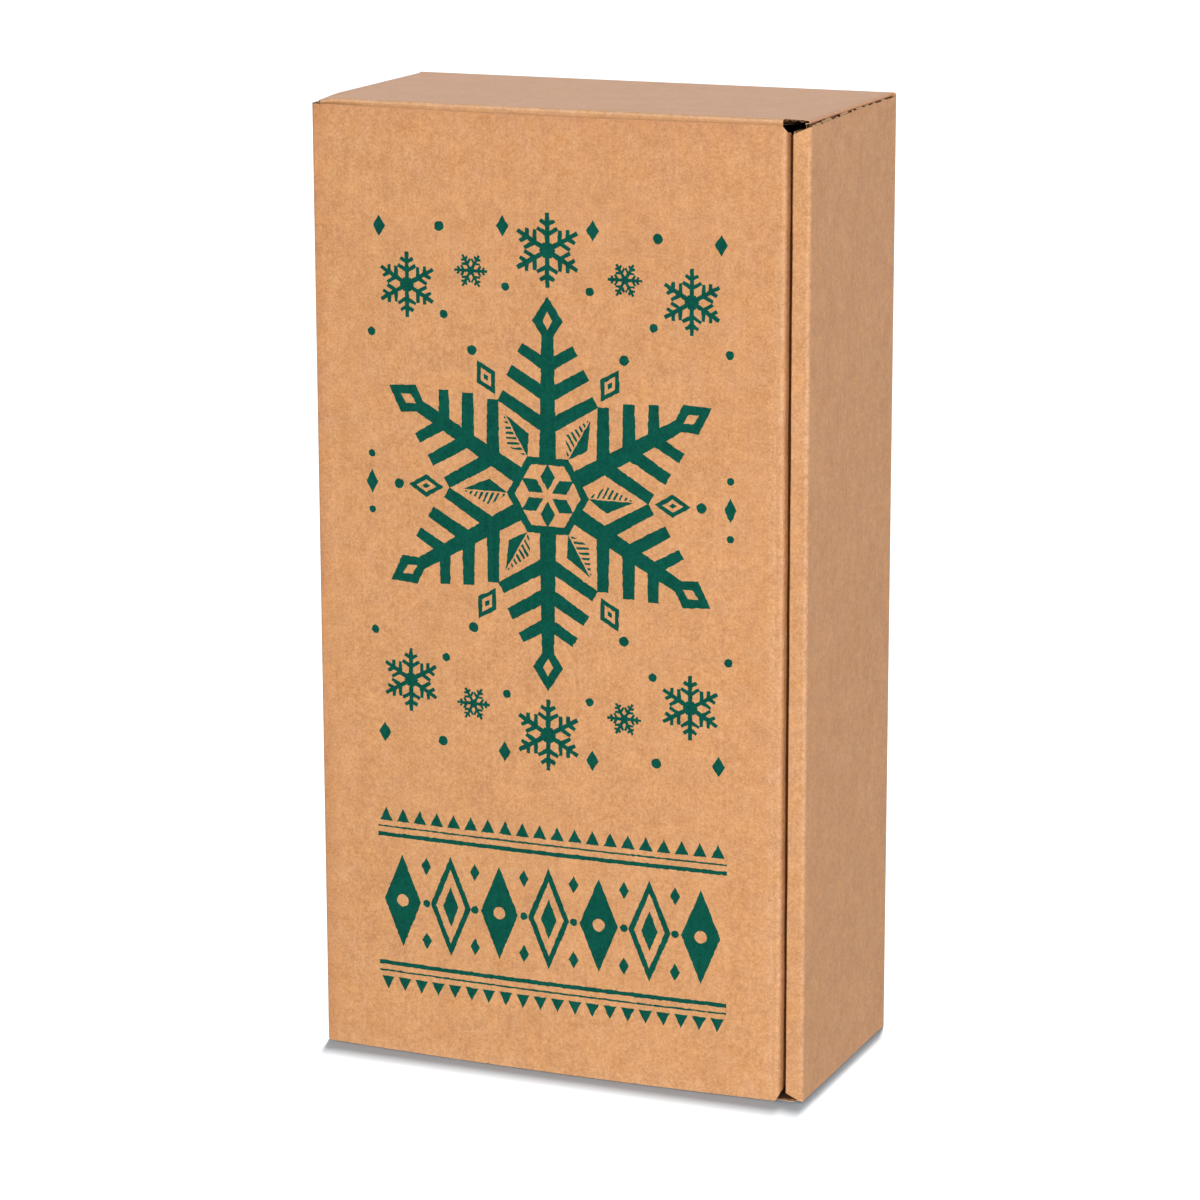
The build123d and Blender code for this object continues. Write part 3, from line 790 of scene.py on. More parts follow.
# left wall: single board, its inner half crushed down at the front top corner
P = Piece()
ya, yb = Y_F + FOLD, Y_IN
crushed = lambda a: LEFT_TOP - 3.0 * (1 - float(smooth((a - ya) / 9.0)))
M = lambda a, b, c: stack(X_L + T - c, a, b)
slab(P, M, rect(ya, SIDE_LOW, yb, LEFT_TOP, "raw", "butt", "raw", "butt"), T - LINER, T, (O, R, R))
inner_rim = [(ya, SIDE_LOW, "raw"), (yb, SIDE_LOW, "butt"), (yb, LEFT_TOP, "raw")] + [(ya + d, crushed(ya + d), "raw") for d in (9.0, 6.0, 4.0, 2.0)] + [(ya, crushed(ya), "butt")]
slab(P, M, inner_rim, 0.0, LINER, (R, I, R))
flute(P, M, ya + 0.3, yb - 0.3, const(SIDE_LOW), crushed, mat=F)
keep(P, "left_wall_board", "kraft_board", UP, "carton", "left_wall")

# lid: bowed board with the print on its outer liner
P = Piece()


def M(a, b, c):
    # the upper edge is pressed a little flat where it rubs on the folded rib
    pressed = smooth((b - LID_TOP + 2.4) / 2.2)
    u = np.clip((a - X_L) / (X_LID - X_L), 0, 1)
    low = 0.55 * np.sin(np.pi * u) ** 1.5 * np.clip((b - LID_TOP + 30) / 30, 0, 1)
    return stack(a + wander(a, b), Y_F + T - c * (1 - 0.3 * pressed) + bow(a, b), b - low)


xa, xb = X_L + FOLD, X_LID - TUCK
lid_rect = rect(xa, LID_LOW, xb, LID_TOP, "raw", "butt", "raw", "butt")
# painted light on the lid: a painted highlight and rubbing towards the tuck edge, lighter along the bottom edge,
# painted shade at the hinge side, below the rib and over the upper half
lid_rub_and_light = lambda a, b: np.maximum(-1.0, 0.55 * smooth((a - (xb - 3.5)) / 3.5) + 0.3 * smooth((6 - b) / 6) - smooth((xa + 3 - a) / 5) - 0.7 * smooth((b - LID_TOP + 7) / 6) - 0.3 * smooth((b - 180) / 150) * (0.45 + 0.55 * smooth((a + 70) / 60)))
slab(P, M, lid_rect, T - LINER, T, (O, R, R), cell=5.0, shapes=shapes, ink=G, wear_and_painted_light=lid_rub_and_light, columns=(xb - 1.2, xb - 2.6, xa + 1.2, xa + 2.8))
slab(P, M, lid_rect, 0.0, LINER, (R, I, R), cell=8.0)
flute(P, M, xa + 0.3, xb - 0.3, const(LID_LOW), const(LID_TOP), mat=F)
keep(P, "lid_panel_board", "printed_board", UP, "lid", "lid_panel")

# hinge crease, between the left wall and the lid
P = Piece()
prof = rounded(
    [(0, FOLD, 0), (0, 0, 0), (FOLD, 0, 1), (FOLD, T, 2), (T, T, 2), (T, FOLD, 1)],
    [0, 1.25, 0, 0, 0.35, 0], 8, 0.34,
)


def crease_share(x, y, start, end):
    d = np.array(end) - np.array(start)
    t = np.clip(((x - start[0]) * d[0] + (y - start[1]) * d[1]) / (d @ d), 0, 1)
    return t * t * (3 - 2 * t)


def place(x, y, t):
    w = crease_share(x, y, (0, T), (T, 0))
    dip = 4 * w * (1 - w)
    z0 = SIDE_LOW + (LID_LOW - SIDE_LOW) * w + 0.5 * dip
    z1 = LEFT_TOP + (LID_TOP - LEFT_TOP) * w - 0.25 * dip - 2.8 * smooth((np.minimum(x, y) - 0.3) / 0.9)
    z = z0 + (z1 - z0) * t
    return stack(X_L + x, Y_F + y + bow(X_L + x, z) * w, z)


prof = [(x, y, tag, 1.0 if tag == 0 else 0.0) for x, y, tag, _ in prof]
# the crease's outer face is painted darker, as painted shade
extrude(P, prof, place, 60, {0: O, 1: R, 2: I}, cap=R, wear_light_level=-1.0)
hinge_crease = keep(P, "lid_hinge_crease", "kraft_board", UP, None)

# tuck crease, between the lid and its flap
fd = np.array((-math.sin(FLAP_TILT), math.cos(FLAP_TILT)))
fo = np.array((math.cos(FLAP_TILT), math.sin(FLAP_TILT)))
P = Piece()
p_out, p_in = fd * TUCK, fd * TUCK - fo * T
root = (-T / math.tan((math.pi / 2 - FLAP_TILT) / 2), T)
prof = rounded(
    [(-TUCK, 0, 0), (0, 0, 0), (*p_out, 1), (*p_in, 2), (*root, 2), (-TUCK, T, 1)],
    [0, 1.95, 0, 0, 0.35, 0], 10, 0.34,
)


def place(x, y, t):
    s = np.where(y > 1.25 - 0.2 * x, np.maximum(x, -0.45), x)
    flap = smooth((y - 0.9) / 1.2)
    s = s * (1 - flap)
    z1 = LID_TOP - (LID_TOP - FLAP_TOP) * np.clip((s + 2.3) / 2.3, 0, 1)
    z0 = LID_LOW + (FLAP_LOW - LID_LOW) * np.clip((s + 2.1) / 2.1, 0, 1)
    z = z0 + (z1 - z0) * t
    w = crease_share(x, y, (-1.8, 0), tuple(fd * 1.8))
    gx = X_LID + x - 0.36 * smooth((x + 1.3) / 1.3) * (1 - smooth((y - 2.0) / 1.6))
    return stack(gx + wander(gx, z), Y_F + y + bow(np.minimum(gx, X_LID), z) * (1 - w), z)


# painted highlight and rubbing along the crease's outside
extrude(P, prof, place, 120, {0: O, 1: R, 2: I}, cap=R, wear_light_level=0.45)
tuck_crease = keep(P, "lid_tuck_crease", "kraft_board", UP, None)

# tuck flap
P = Piece()


def M(a, b, c):
    x, y = X_LID + fd[0] * a + fo[0] * (c - T), Y_F + fd[1] * a + fo[1] * (c - T)
    return stack(x + ripple(b, 3, 0.22, (31.0, 57.0, 143.0)), y, b)


slope = FLAP_TAPER / 26.0
edge_hi = lambda a: FLAP_TOP - max(0.0, a * fd[1] - 3.0) * slope
edge_lo = lambda a: FLAP_LOW + max(0.0, a * fd[1] - 3.0) * slope
outline = [
    (TUCK, edge_lo(TUCK), "raw"), (FLAP_L - 3, edge_lo(FLAP_L - 3), "raw"), (FLAP_L, edge_lo(FLAP_L) + 3, "raw"),
    (FLAP_L, edge_hi(FLAP_L) - 3, "raw"), (FLAP_L - 3, edge_hi(FLAP_L - 3), "raw"), (TUCK, edge_hi(TUCK), "butt"),
]
board(P, M, outline, wave=[(TUCK + 0.2, FLAP_L - 0.2, edge_lo, edge_hi)], cell=9.0)
keep(P, "lid_tuck_flap_board", "kraft_board", UP, "tuck_flap", "lid_tuck_flap")

# right wall, outer board
P = Piece()
ya, yb = Y_E + T, Y_IN


def sag(y):
    return DROOP * (1 - smooth((y - ya) / 62.0))


def M(a, b, c):
    return stack(X_R - T + c, a, b - sag(a) * np.clip((b - 300) / (RIGHT_TOP - 300), 0, 1))


# only its outer liner reaches the top: the rest is crushed down under the end wall's fold
slab(P, M, rect(ya, SIDE_LOW, yb, RIGHT_TOP, "raw", "butt", "raw", "butt"), T - LINER, T, (O, R, R), rough=0.11)
slab(P, M, rect(ya, SIDE_LOW, yb, RIGHT_TOP - 2.2, "raw", "butt", "raw", "butt"), 0.0, LINER, (R, I, R), rough=0.3)
flute(P, M, ya + 0.3, yb - 0.3, const(SIDE_LOW), const(RIGHT_TOP - 1.9), mat=F)


def torn(P, y0, y1, tall, x, seed):
    """A shred of liner that stands up ragged from the wall's cut edge."""
    r = np.random.RandomState(seed)
    n = max(5, int((y1 - y0) / 0.7))
    y = np.linspace(y0, y1, n)
    foot = RIGHT_TOP - sag(y) - 0.25
    crest = foot + 0.25 + tall * np.sin(np.pi * np.linspace(0.06, 0.94, n)) ** 0.6 * r.uniform(0.45, 1.0, n)
    lean = 0.25 * r.uniform(-1, 1) + 0.12 * r.normal(size=n)
    rows = [stack(x, y, foot), stack(x - 0.35 + lean, y, crest), stack(x - 0.22 + lean, y, crest - 0.03), stack(x + 0.13, y, foot)]
    verts = np.concatenate(rows)
    faces = []
    for j in range(4):
        k = (j + 1) % 4
        faces += [[j * n + i, j * n + i + 1, k * n + i + 1, k * n + i] for i in range(n - 1)]
    faces += [[0, n, 2 * n, 3 * n], [n - 1, 4 * n - 1, 3 * n - 1, 2 * n - 1]]
    P.add(verts, faces, [R] * len(faces))


for i, (y0, y1, tall, x) in enumerate((
    (-41.5, -38.0, 0.35, 95.5), (-37.0, -31.5, 0.6, 95.2), (-30.0, -19.5, 0.95, 95.0), (-17.5, -14.5, 0.4, 95.4), (-11.0, -2.5, 0.85, 95.0),
    (0.5, 3.0, 0.3, 95.4), (6.0, 12.5, 0.4, 95.1), (15.0, 19.0, 0.3, 95.3), (24.0, 26.5, 0.22, 95.3), (33.0, 37.5, 0.22, 95.2),
)):
    torn(P, y0, y1, tall, x, 40 + i)
keep(P, "right_wall_outer_board", "kraft_board", SIDE, "carton", "right_wall_outer")

# right wall, rolled front edge with sloping ends
P = Piece()
e_lo, e_hi = box_mm("right_wall_inner")[0][2], box_mm("right_wall_inner")[1][2]
CH = e_lo - SIDE_LOW


def ends(x):
    k = np.clip((X_R - 0.5 - x) / (X_R - 0.5 - X_RI), 0, 1)
    return SIDE_LOW + CH * k, RIGHT_TOP - DROOP - CH * k


def place(x, y, t):
    z0, z1 = ends(x)
    z = z0 + (z1 - z0) * t
    return stack(x + ripple(z, 5, 0.12, (37.0, 71.0)) * smooth((X_RI + 1.6 - x) / 1.2), y, z)


path = rounded([(X_R, Y_E + T, 0), (X_R, Y_E, 0), (X_RI, Y_E, 0), (X_RI, Y_E + T, 0)], [0, 1.35, 0.8, 0], 8)
# painted highlight and rubbing along its creases
extrude(P, strip_of(path, -0.42), place, 60, {0: O, 1: R}, cap=R, wear_light_level=0.5)
M = lambda a, b, c: stack(a, Y_E + T - c, b)
slab(P, M, [(X_RI + T, ends(X_RI + T)[0], "raw"), (X_R - T, ends(X_R - T)[0], "butt"), (X_R - T, ends(X_R - T)[1], "raw"), (X_RI + T, ends(X_RI + T)[1], "butt")], 0.0, LINER, (R, I, R))
flute(P, M, X_RI + 1.2, X_R - 1.4, lambda x: float(ends(x)[0]), lambda x: float(ends(x)[1]), mat=F, c1=T - 0.42, inset=0.35)
keep(P, "right_wall_edge_board", "kraft_board", UP, "carton", "right_wall_edge")


# boards that roll in and lock into the back panel with tabs
def tabbed(lo_a, hi_a, lo_b, hi_b, centres, along_b):
    """A rectangle whose far side, at the back panel, has tabs on it."""
    reach, half = 1.45, 18.0
    pts = []
    if along_b:        # the far side is at a = hi_a, and b runs along it
        pts += [(lo_a, lo_b, "raw"), (hi_a, lo_b, "raw")]
        for c in centres:
            pts += [(hi_a, c - half, "raw"), (hi_a + reach - 0.5, c - half, "raw"), (hi_a + reach, c - half + 1.2, "raw"),
                    (hi_a + reach, c + half - 1.2, "raw"), (hi_a + reach - 0.5, c + half, "raw"), (hi_a, c + half, "raw")]
        pts += [(hi_a, hi_b, "raw"), (lo_a, hi_b, "butt")]
    else:              # the far side is at b = hi_b, and a runs along it
        pts += [(lo_a, lo_b, "butt"), (hi_a, lo_b, "raw"), (hi_a, hi_b, "raw")]
        for c in sorted(centres, reverse=True):
            pts += [(c + half, hi_b, "raw"), (c + half, hi_b + reach - 0.5, "raw"), (c + half - 1.2, hi_b + reach, "raw"),
                    (c - half + 1.2, hi_b + reach, "raw"), (c - half, hi_b + reach - 0.5, "raw"), (c - half, hi_b, "raw")]
        pts += [(lo_a, hi_b, "raw")]
    return pts


P = Piece()
M = lambda a, b, c: stack(X_RI + T - c, a, b)
ya, yb = Y_E + T, Y_IN
board(P, M, tabbed(ya, yb, e_lo, e_hi, (100.0, 260.0), True), wave=[(ya + 0.3, yb - 0.3, const(e_lo), const(e_hi))])
keep(P, "right_wall_inner_board", "kraft_board", UP, "carton", "right_wall_inner")


# end walls: the same shapes at the top and, turned over, at the bottom
def end_wall(name, z_out, up):
    """z_out is the outer face's height, up is +1 for the top and -1 for the bottom."""
    seed = 11 if up > 0 else 12
    low_x, high_x = box_mm(name + "_wall_edge")[0][0], box_mm(name + "_wall_edge")[1][0]
    yf = Y_E + T
    x0, x1 = X_L + 2 * T, X_R - 2 * T
    pinch = 0.55 if up > 0 else 0.62
    if up < 0:
        high_x -= 0.5

    def bent(x, y):
        corner = np.clip((low_x + 6.1 - x) / 5.8, 0, 1) * np.clip(1 - (y - yf) / 15.0, 0, 1)
        return (0.95 if up > 0 else 0.4) * corner

    # outer board: its free front corners are cut edges, pinched where they meet a fold
    P = Piece()

    def M(a, b, c):
        # pinched thin beyond the rib's right end, and bent down at the left
        lens = smooth((a - high_x + 0.4) / 0.5) * (1 - smooth((b - yf) / 9.0))
        u = np.clip((a - high_x) / (x1 + 0.8 - high_x), 0, 1)
        squeeze = 1 - lens * (pinch - 0.35 * u)
        return stack(a, b, z_out - up * ((T - c) * squeeze + bent(a, b)))

    def sheet(back):
        return [
            (x0, yf + 0.3, "raw"), (low_x, yf + 0.3, "raw"), (low_x + 0.3, yf, "butt"), (high_x - 0.3, yf, "raw"), (high_x, yf + back, "raw"),
            (x1, yf + back, "butt"), (x1, Y_IN, "butt"), (x0, Y_IN, "butt"),
        ]

    slab(P, M, sheet(0.7 if up > 0 else -1.2), T - LINER, T, (O, R, R), rough=0.05, columns=(high_x + 0.9, high_x + 1.9, high_x + 2.9))
    # painted shade, near black, on the inner liner behind the right front corner, so the hole there reads dark
    painted_dark_corner = lambda a, b: -2.2 * smooth((a - high_x + 3) / 2) * (1 - smooth((b - yf - 6) / 7))
    slab(P, M, sheet(6.0 if up > 0 else -1.0), 0.0, LINER, (R, I, R), rough=0.05, cell=7.0, columns=(high_x + 0.9, high_x + 1.9, high_x + 2.9), wear_and_painted_light=painted_dark_corner)
    flute(P, M, x0 + 0.3, high_x, const(yf + 1.6), const(Y_IN), mat=F, phase=0.8)
    flute(P, M, high_x, x1 - 0.3, const(yf + (0.9 if up > 0 else -1.1)), const(Y_IN), mat=F, phase=0.4, parts=12)
    # the folds at its two long sides, down into the corner flaps: bent liner with
    # the crushed board behind it, a little way out over the side walls' edges
    for side, x_in, x_out in ((1, x1, X_R - T), (-1, x0, X_L + T)):
        lip = LIP if up > 0 else 0.0
        path = rounded(
            [(x_in - side * 0.05, z_out, 0), (x_out + side * lip, z_out, 0), (x_out + side * (lip - 0.15), z_out - up * 1.2, 0), (x_out - side * TUCKED, z_out - up * (T + 0.02), 0)],
            [0, 0.85, 0, 0], 8,
        )

        def place(x, z, t):
            y = yf + 0.45 + (Y_IN - yf - 0.45) * t
            soft = ripple(y, seed + side, 0.06, (9.0, 23.0)) * smooth((side * (x - x_in) - 0.5) / 1.0)
            return stack(x - side * np.abs(soft), y, z - up * bent(x, y))

        # the top's right fold is painted darker, as painted shade; the other folds are painted lighter, highlight and
        # rubbing
        extrude(P, strip_of(path, -0.3 * side * up), place, 40, {0: O, 1: R}, cap=R, wear_light_level=-0.2 if side > 0 and up > 0 else 0.3)
    keep(P, name + "_wall_outer_board", "kraft_board", TOP if up > 0 else ENDS, "carton", name + "_wall_outer")

    # folded front edge: liner turned right round, crushed board within
    P = Piece()
    path = rounded(
        [(yf, z_out, 0), (Y_E, z_out, 0), (Y_E, z_out - up * END_T, 0), (yf, z_out - up * END_T, 0)],
        [0, 1.0, 0.4, 0], 8,
    )

    def place(y, z, t):
        depth = np.clip(up * (z_out - z) / END_T, 0, 1)
        xs, xe = low_x + 0.6 * depth, high_x - 0.1 * depth
        x = xs + (xe - xs) * t
        bulge = np.abs(ripple(x, seed, 0.07, (19.0, 47.0, 83.0)))
        # towards the left the lower half is pressed back and leaves a shaded line
        bulge = bulge + 0.75 * smooth((low_x + 24 - x) / 22) * smooth((depth - 0.3) / 0.3)
        bulge = bulge * smooth((Y_E + 0.8 - y) / 0.8)
        return stack(x, y + bulge, z - up * bent(x, y) * (1 - depth))

    # painted highlight and rubbing along the rolled nose; its end faces take the darker fluted paper's colour, partly
    # as painted shade
    extrude(P, strip_of(path, 0.3 * up), place, 120, {0: O, 1: R}, cap=F, wear_light_level=1.0)
    core = [(yf, z_out - up * 0.4, 0, 0), (Y_E + 0.75, z_out - up * 0.75, 0, 0), (Y_E + 0.5, z_out - up * END_T / 2, 0, 0), (Y_E + 0.75, z_out - up * (END_T - 0.75), 0, 0), (yf, z_out - up * (END_T - 0.4), 0, 0)]

    def place(y, z, t):
        return stack(low_x + 2.0 + (high_x - low_x - 3.4) * t, y, z - up * 0.5 * bent(low_x + 2.0 + (high_x - low_x - 3.4) * t, y))

    extrude(P, core, place, 1, {0: F}, cap=F, wear_light_level=0.0)
    keep(P, name + "_wall_edge_board", "kraft_board", ENDS, "carton", name + "_wall_edge")

    # inner board: the outer liner shows on it, inside the carton
    P = Piece()
    M = lambda a, b, c: stack(a, b, z_out - up * (T + c))
    lo, hi = box_mm(name + "_wall_inner")
    outline = tabbed(lo[0], hi[0], yf, Y_IN, (-46.0, 42.0), False)
    # its right front corner is cut back behind the rib's end
    cut = 9.0
    outline[1:2] = [(hi[0] - cut, yf, "raw"), (hi[0], yf + 14.0, "raw")]
    board(P, M, outline, wave=[(lo[0] + 0.3, hi[0] - 0.3, lambda x: yf + 14.0 * max(0.0, x - hi[0] + cut) / cut, const(Y_IN))])
    keep(P, name + "_wall_inner_board", "kraft_board", ENDS, "carton", name + "_wall_inner")

    # corner flaps along the side walls
    for side, tag, x_face in ((-1, "_left", X_L + 2 * T), (1, "_right", X_R - 2 * T)):
        P = Piece()
        lo, hi = box_mm(name + tag + "_corner_flap")
        root_z, free_z = (hi[2], lo[2]) if up > 0 else (lo[2], hi[2])

        def M(a, b, c):
            # it leaves the fold a little way in from the wall
            inward = TUCKED * np.clip(1 - np.abs(root_z - a) / 11.0, 0, 1)
            return stack(x_face + side * (c - inward), b, a)

        cut = 10.0
        za, zb = sorted((root_z, free_z))
        outline = [(free_z, lo[1] + cut, "raw"), (free_z, hi[1] - cut, "raw"), (free_z + up * cut, hi[1], "raw"),
                   (root_z, hi[1], "butt"), (root_z, lo[1], "raw"), (free_z + up * cut, lo[1], "raw")]

        def low_b(a):
            return lo[1] + max(0.0, cut - abs(a - free_z))

        def high_b(a):
            return hi[1] - max(0.0, cut - abs(a - free_z))

        board(P, M, outline, wave=[(za + 0.3, zb - 0.3, low_b, high_b)])
        keep(P, name + tag + "_corner_flap_board", "kraft_board", ENDS, "carton", name + tag + "_corner_flap")


end_wall("top", H, 1)
end_wall("bottom", 0.0, -1)


# back panel: one board with rounded creases round its rim and six slots
def rounded_rect(x0, z0, x1, z1, r, n=5):
    pts = []
    for cx, cz, a0 in ((x1 - r, z0 + r, -90), (x1 - r, z1 - r, 0), (x0 + r, z1 - r, 90), (x0 + r, z0 + r, 180)):
        pts += [(cx + r * math.cos(math.radians(a0 + 90 * k / n)), cz + r * math.sin(math.radians(a0 + 90 * k / n))) for k in range(n + 1)]
    return pts


P = Piece()
RB = 1.3
rings = [(RB + 0.2, T)]
for k in range(9):
    a = math.radians(90 * k / 8)
    rings.append((RB * (1 - math.sin(a)), T - RB * (1 - math.cos(a))))
rings += [(0.0, T - RB - 0.15), (0.0, 0.0)]
slots = []
for z in (100.0, 260.0):
    x = X_RI + T / 2
    slots.append(rect(x - T / 2 - 0.15, z - 18.15, x + T / 2 + 0.15, z + 18.15))
for x in (-46.0, 42.0):
    for z in (H - END_T + T / 2, END_T - T / 2):
        slots.append(rect(x - 18.15, z - T / 2 - 0.15, x + 18.15, z + T / 2 + 0.15))
M = lambda a, b, c: stack(a, Y_IN + c, b)
loops3 = []
for inset, c in rings:
    r = max(0.3, 0.8 - inset)
    loops3.append([(x, z, c) for x, z in rounded_rect(X_L + inset, inset, X_R - inset, H - inset, r)])
n_ring = len(loops3[0])
hole_rims = [rim_of(s, 3.0, 0.0) for s in slots]


def panel_face(ring):
    pts = [(x, z) for x, z, _ in ring]
    sides = [np.array(pts)] + [np.array(h) for h in hole_rims]
    ga = np.linspace(X_L, X_R, 15)[1:-1]
    gb = np.linspace(0, H, 27)[1:-1]
    grid = np.array([(a + 0.013, b + 0.017) for a in ga for b in gb])
    ok = inside(grid, sides[0])
    for s in sides[1:]:
        ok &= ~inside(grid, s)
    grid = grid[ok]
    flat, lps, at = [], [], 0
    for s in sides:
        lps.append((at, len(s)))
        flat += [tuple(p) for p in s]
        at += len(s)
    v, f, where = cdt(flat + [tuple(g) for g in grid], lps)
    f = [t for t in f if len(t) >= 3]
    mid = np.array([v[list(t)].mean(0) for t in f])
    good = inside(mid, sides[0])
    for s in sides[1:]:
        good &= ~inside(mid, s)
    return v, [list(t) for t, g in zip(f, good) if g], where


top_v, top_f, top_at = panel_face(loops3[0])
low_v, low_f, low_at = panel_face(loops3[-1])
verts = [M(top_v[:, 0], top_v[:, 1], np.full(len(top_v), T)), M(low_v[:, 0], low_v[:, 1], np.full(len(low_v), 0.0))]
nt, nl = len(top_v), len(low_v)
faces = list(top_f) + [[nt + i for i in t] for t in low_f]
mi = [O] * len(top_f) + [I] * len(low_f)
bend = [np.zeros(nt), np.zeros(nl)]
at = nt + nl
ids = [[top_at[i] for i in range(n_ring)]]
for ring in loops3[1:-1]:
    r = np.array(ring)
    verts.append(M(r[:, 0], r[:, 1], r[:, 2]))
    bend.append(np.full(n_ring, 0.6))
    ids.append(list(range(at, at + n_ring)))
    at += n_ring
ids.append([nt + low_at[i] for i in range(n_ring)])
for a, b in zip(ids, ids[1:]):
    for i in range(n_ring):
        k = (i + 1) % n_ring
        faces.append([a[i], a[k], b[k], b[i]])
        mi.append(O)
start = n_ring
for h in hole_rims:
    for i in range(len(h)):
        a, b = start + i, start + (i + 1) % len(h)
        faces.append([top_at[a], top_at[b], nt + low_at[b], nt + low_at[a]])
        mi.append(R)
    start += len(h)
P.add(np.concatenate(verts), faces, mi, np.concatenate(bend))
keep(P, "back_panel_board", "kraft_board", UP, "carton", "back_panel")

# bottle divider: two base boards, two web boards and the fold at their front
(dl, dh), (el, eh) = box_mm("divider_left_base"), box_mm("divider_right_base")
(wl, wh), (vl, vh) = box_mm("divider_left_web"), box_mm("divider_right_web")
for name, lo, hi in (("divider_left_base", dl, dh), ("divider_right_base", el, eh)):
    P = Piece()
    M = lambda a, b, c: stack(a, hi[1] - c, b)
    kinds = ("raw", "butt", "raw", "raw") if name == "divider_left_base" else ("raw", "raw", "raw", "butt")
    board(P, M, rect(lo[0], lo[2], hi[0], hi[2], *kinds), wave=[(lo[0] + 0.3, hi[0] - 0.3, const(lo[2]), const(hi[2]))])
    keep(P, name + "_board", "divider_board", DIV, "carton", name)
CUT = 14.0
for name, lo, hi, side in (("divider_left_web", wl, wh, -1), ("divider_right_web", vl, vh, 1)):
    P = Piece()
    x_mid = hi[0] if side < 0 else lo[0]
    M = lambda a, b, c: stack(x_mid + side * c, a, b)
    outline = [(lo[1], lo[2] + CUT, "raw"), (lo[1] + CUT, lo[2], "raw"), (hi[1], lo[2], "butt"), (hi[1], hi[2], "raw"), (lo[1] + CUT, hi[2], "raw"), (lo[1], hi[2] - CUT, "butt")]
    low_b = lambda a: lo[2] + max(0.0, CUT - (a - lo[1]))
    high_b = lambda a: hi[2] - max(0.0, CUT - (a - lo[1]))
    board(P, M, outline, wave=[(lo[1] + 0.3, hi[1] - 0.3, low_b, high_b)])
    keep(P, name + "_board", "divider_board", DIV, "carton", name)
lo, hi = box_mm("divider_front_fold")
P = Piece()
prof = rounded([(lo[0], hi[1], 0), (lo[0], lo[1], 0), (hi[0], lo[1], 0), (hi[0], hi[1], 1)], [0, 1.35, 1.35, 0], 8)


def place(x, y, t):
    z = lo[2] + (hi[2] - lo[2]) * t
    return stack(x, y + np.abs(ripple(z, 9, 0.15, (43.0, 97.0))) * smooth((hi[1] - y) / 1.6), z)


extrude(P, prof, place, 50, {0: O, 1: R}, cap=R, wear_light_level=0.8)
keep(P, "divider_front_fold_board", "divider_board", DIV, "carton", "divider_front_fold")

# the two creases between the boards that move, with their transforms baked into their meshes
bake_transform(hinge_crease)
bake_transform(tuck_crease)


# ---- floor, light and camera ----------------------------------------------
me = bpy.data.meshes.new("floor")
S = 30.0
me.from_pydata([(-S, -S, 0), (S, -S, 0), (S, S, 0), (-S, S, 0)], [], [(0, 1, 2, 3)])
floor = bpy.data.objects.new("floor", me)
bpy.context.scene.collection.objects.link(floor)
m = bpy.data.materials.new("pale_floor")
m.use_nodes = True
b = m.node_tree.nodes["Principled BSDF"]
b.inputs["Base Color"].default_value = (0.52, 0.52, 0.52, 1)
b.inputs["Roughness"].default_value = 0.9
b.inputs["Specular IOR Level"].default_value = 0.1
me.materials.append(m)
# the sweep is lit on its own, so the carton's bounce light comes from the world
floor.visible_diffuse = False
floor.visible_glossy = False

# studio walls and sweep: white round the horizon and below, dimmer overhead
world = bpy.data.worlds.new("studio")
bpy.context.scene.world = world
world.use_nodes = True
wt = world.node_tree
coord = wt.nodes.new("ShaderNodeTexCoord")
split = wt.nodes.new("ShaderNodeSeparateXYZ")
ramp = wt.nodes.new("ShaderNodeMapRange")
ramp.interpolation_type = "SMOOTHSTEP"
wt.links.new(coord.outputs["Generated"], split.inputs[0])
wt.links.new(split.outputs[2], ramp.inputs[0])
for i, v in enumerate((0.12, 0.65, WALLS, CEILING)):
    ramp.inputs[i + 1].default_value = v
bg = wt.nodes["Background"]
bg.inputs[0].default_value = (1, 1, 1, 1)
# the wall behind the carton is lit brighter than the rest
behind = wt.nodes.new("ShaderNodeMapRange")
behind.interpolation_type = "SMOOTHSTEP"
wt.links.new(split.outputs[1], behind.inputs[0])
for i, v in enumerate((0.25, 0.85, 0.0, BEHIND)):
    behind.inputs[i + 1].default_value = v
band_z = wt.nodes.new("ShaderNodeMapRange")
band_z.interpolation_type = "SMOOTHSTEP"
wt.links.new(split.outputs[2], band_z.inputs[0])
for i, v in enumerate((0.3, 0.5, 1.0, 0.0)):
    band_z.inputs[i + 1].default_value = v
above = wt.nodes.new("ShaderNodeMapRange")
above.interpolation_type = "SMOOTHSTEP"
wt.links.new(split.outputs[2], above.inputs[0])
for i, v in enumerate((0.0, 0.12, 0.0, 1.0)):
    above.inputs[i + 1].default_value = v
bright = wt.nodes.new("ShaderNodeMath")
bright.operation = "MULTIPLY"
wt.links.new(band_z.outputs[0], bright.inputs[0])
wt.links.new(above.outputs[0], bright.inputs[1])
sum_up = wt.nodes.new("ShaderNodeMath")
sum_up.operation = "MULTIPLY_ADD"
wt.links.new(behind.outputs[0], sum_up.inputs[0])
wt.links.new(bright.outputs[0], sum_up.inputs[1])
wt.links.new(ramp.outputs[0], sum_up.inputs[2])
# seen directly, the studio is plain white all round
seen = wt.nodes.new("ShaderNodeLightPath")
level = wt.nodes.new("ShaderNodeMath")
level.operation = "MULTIPLY"
wt.links.new(seen.outputs["Is Camera Ray"], level.inputs[0])
level.inputs[1].default_value = 1.1
most = wt.nodes.new("ShaderNodeMath")
most.operation = "MAXIMUM"
wt.links.new(level.outputs[0], most.inputs[0])
wt.links.new(sum_up.outputs[0], most.inputs[1])
wt.links.new(most.outputs[0], bg.inputs[1])

floor_set = bpy.data.collections.new("floor_light_only")
floor_set.objects.link(floor)
carton_set = bpy.data.collections.new("all_but_floor")
carton_set.objects.link(floor)
carton_set.collection_objects[0].light_linking.link_state = "EXCLUDE"


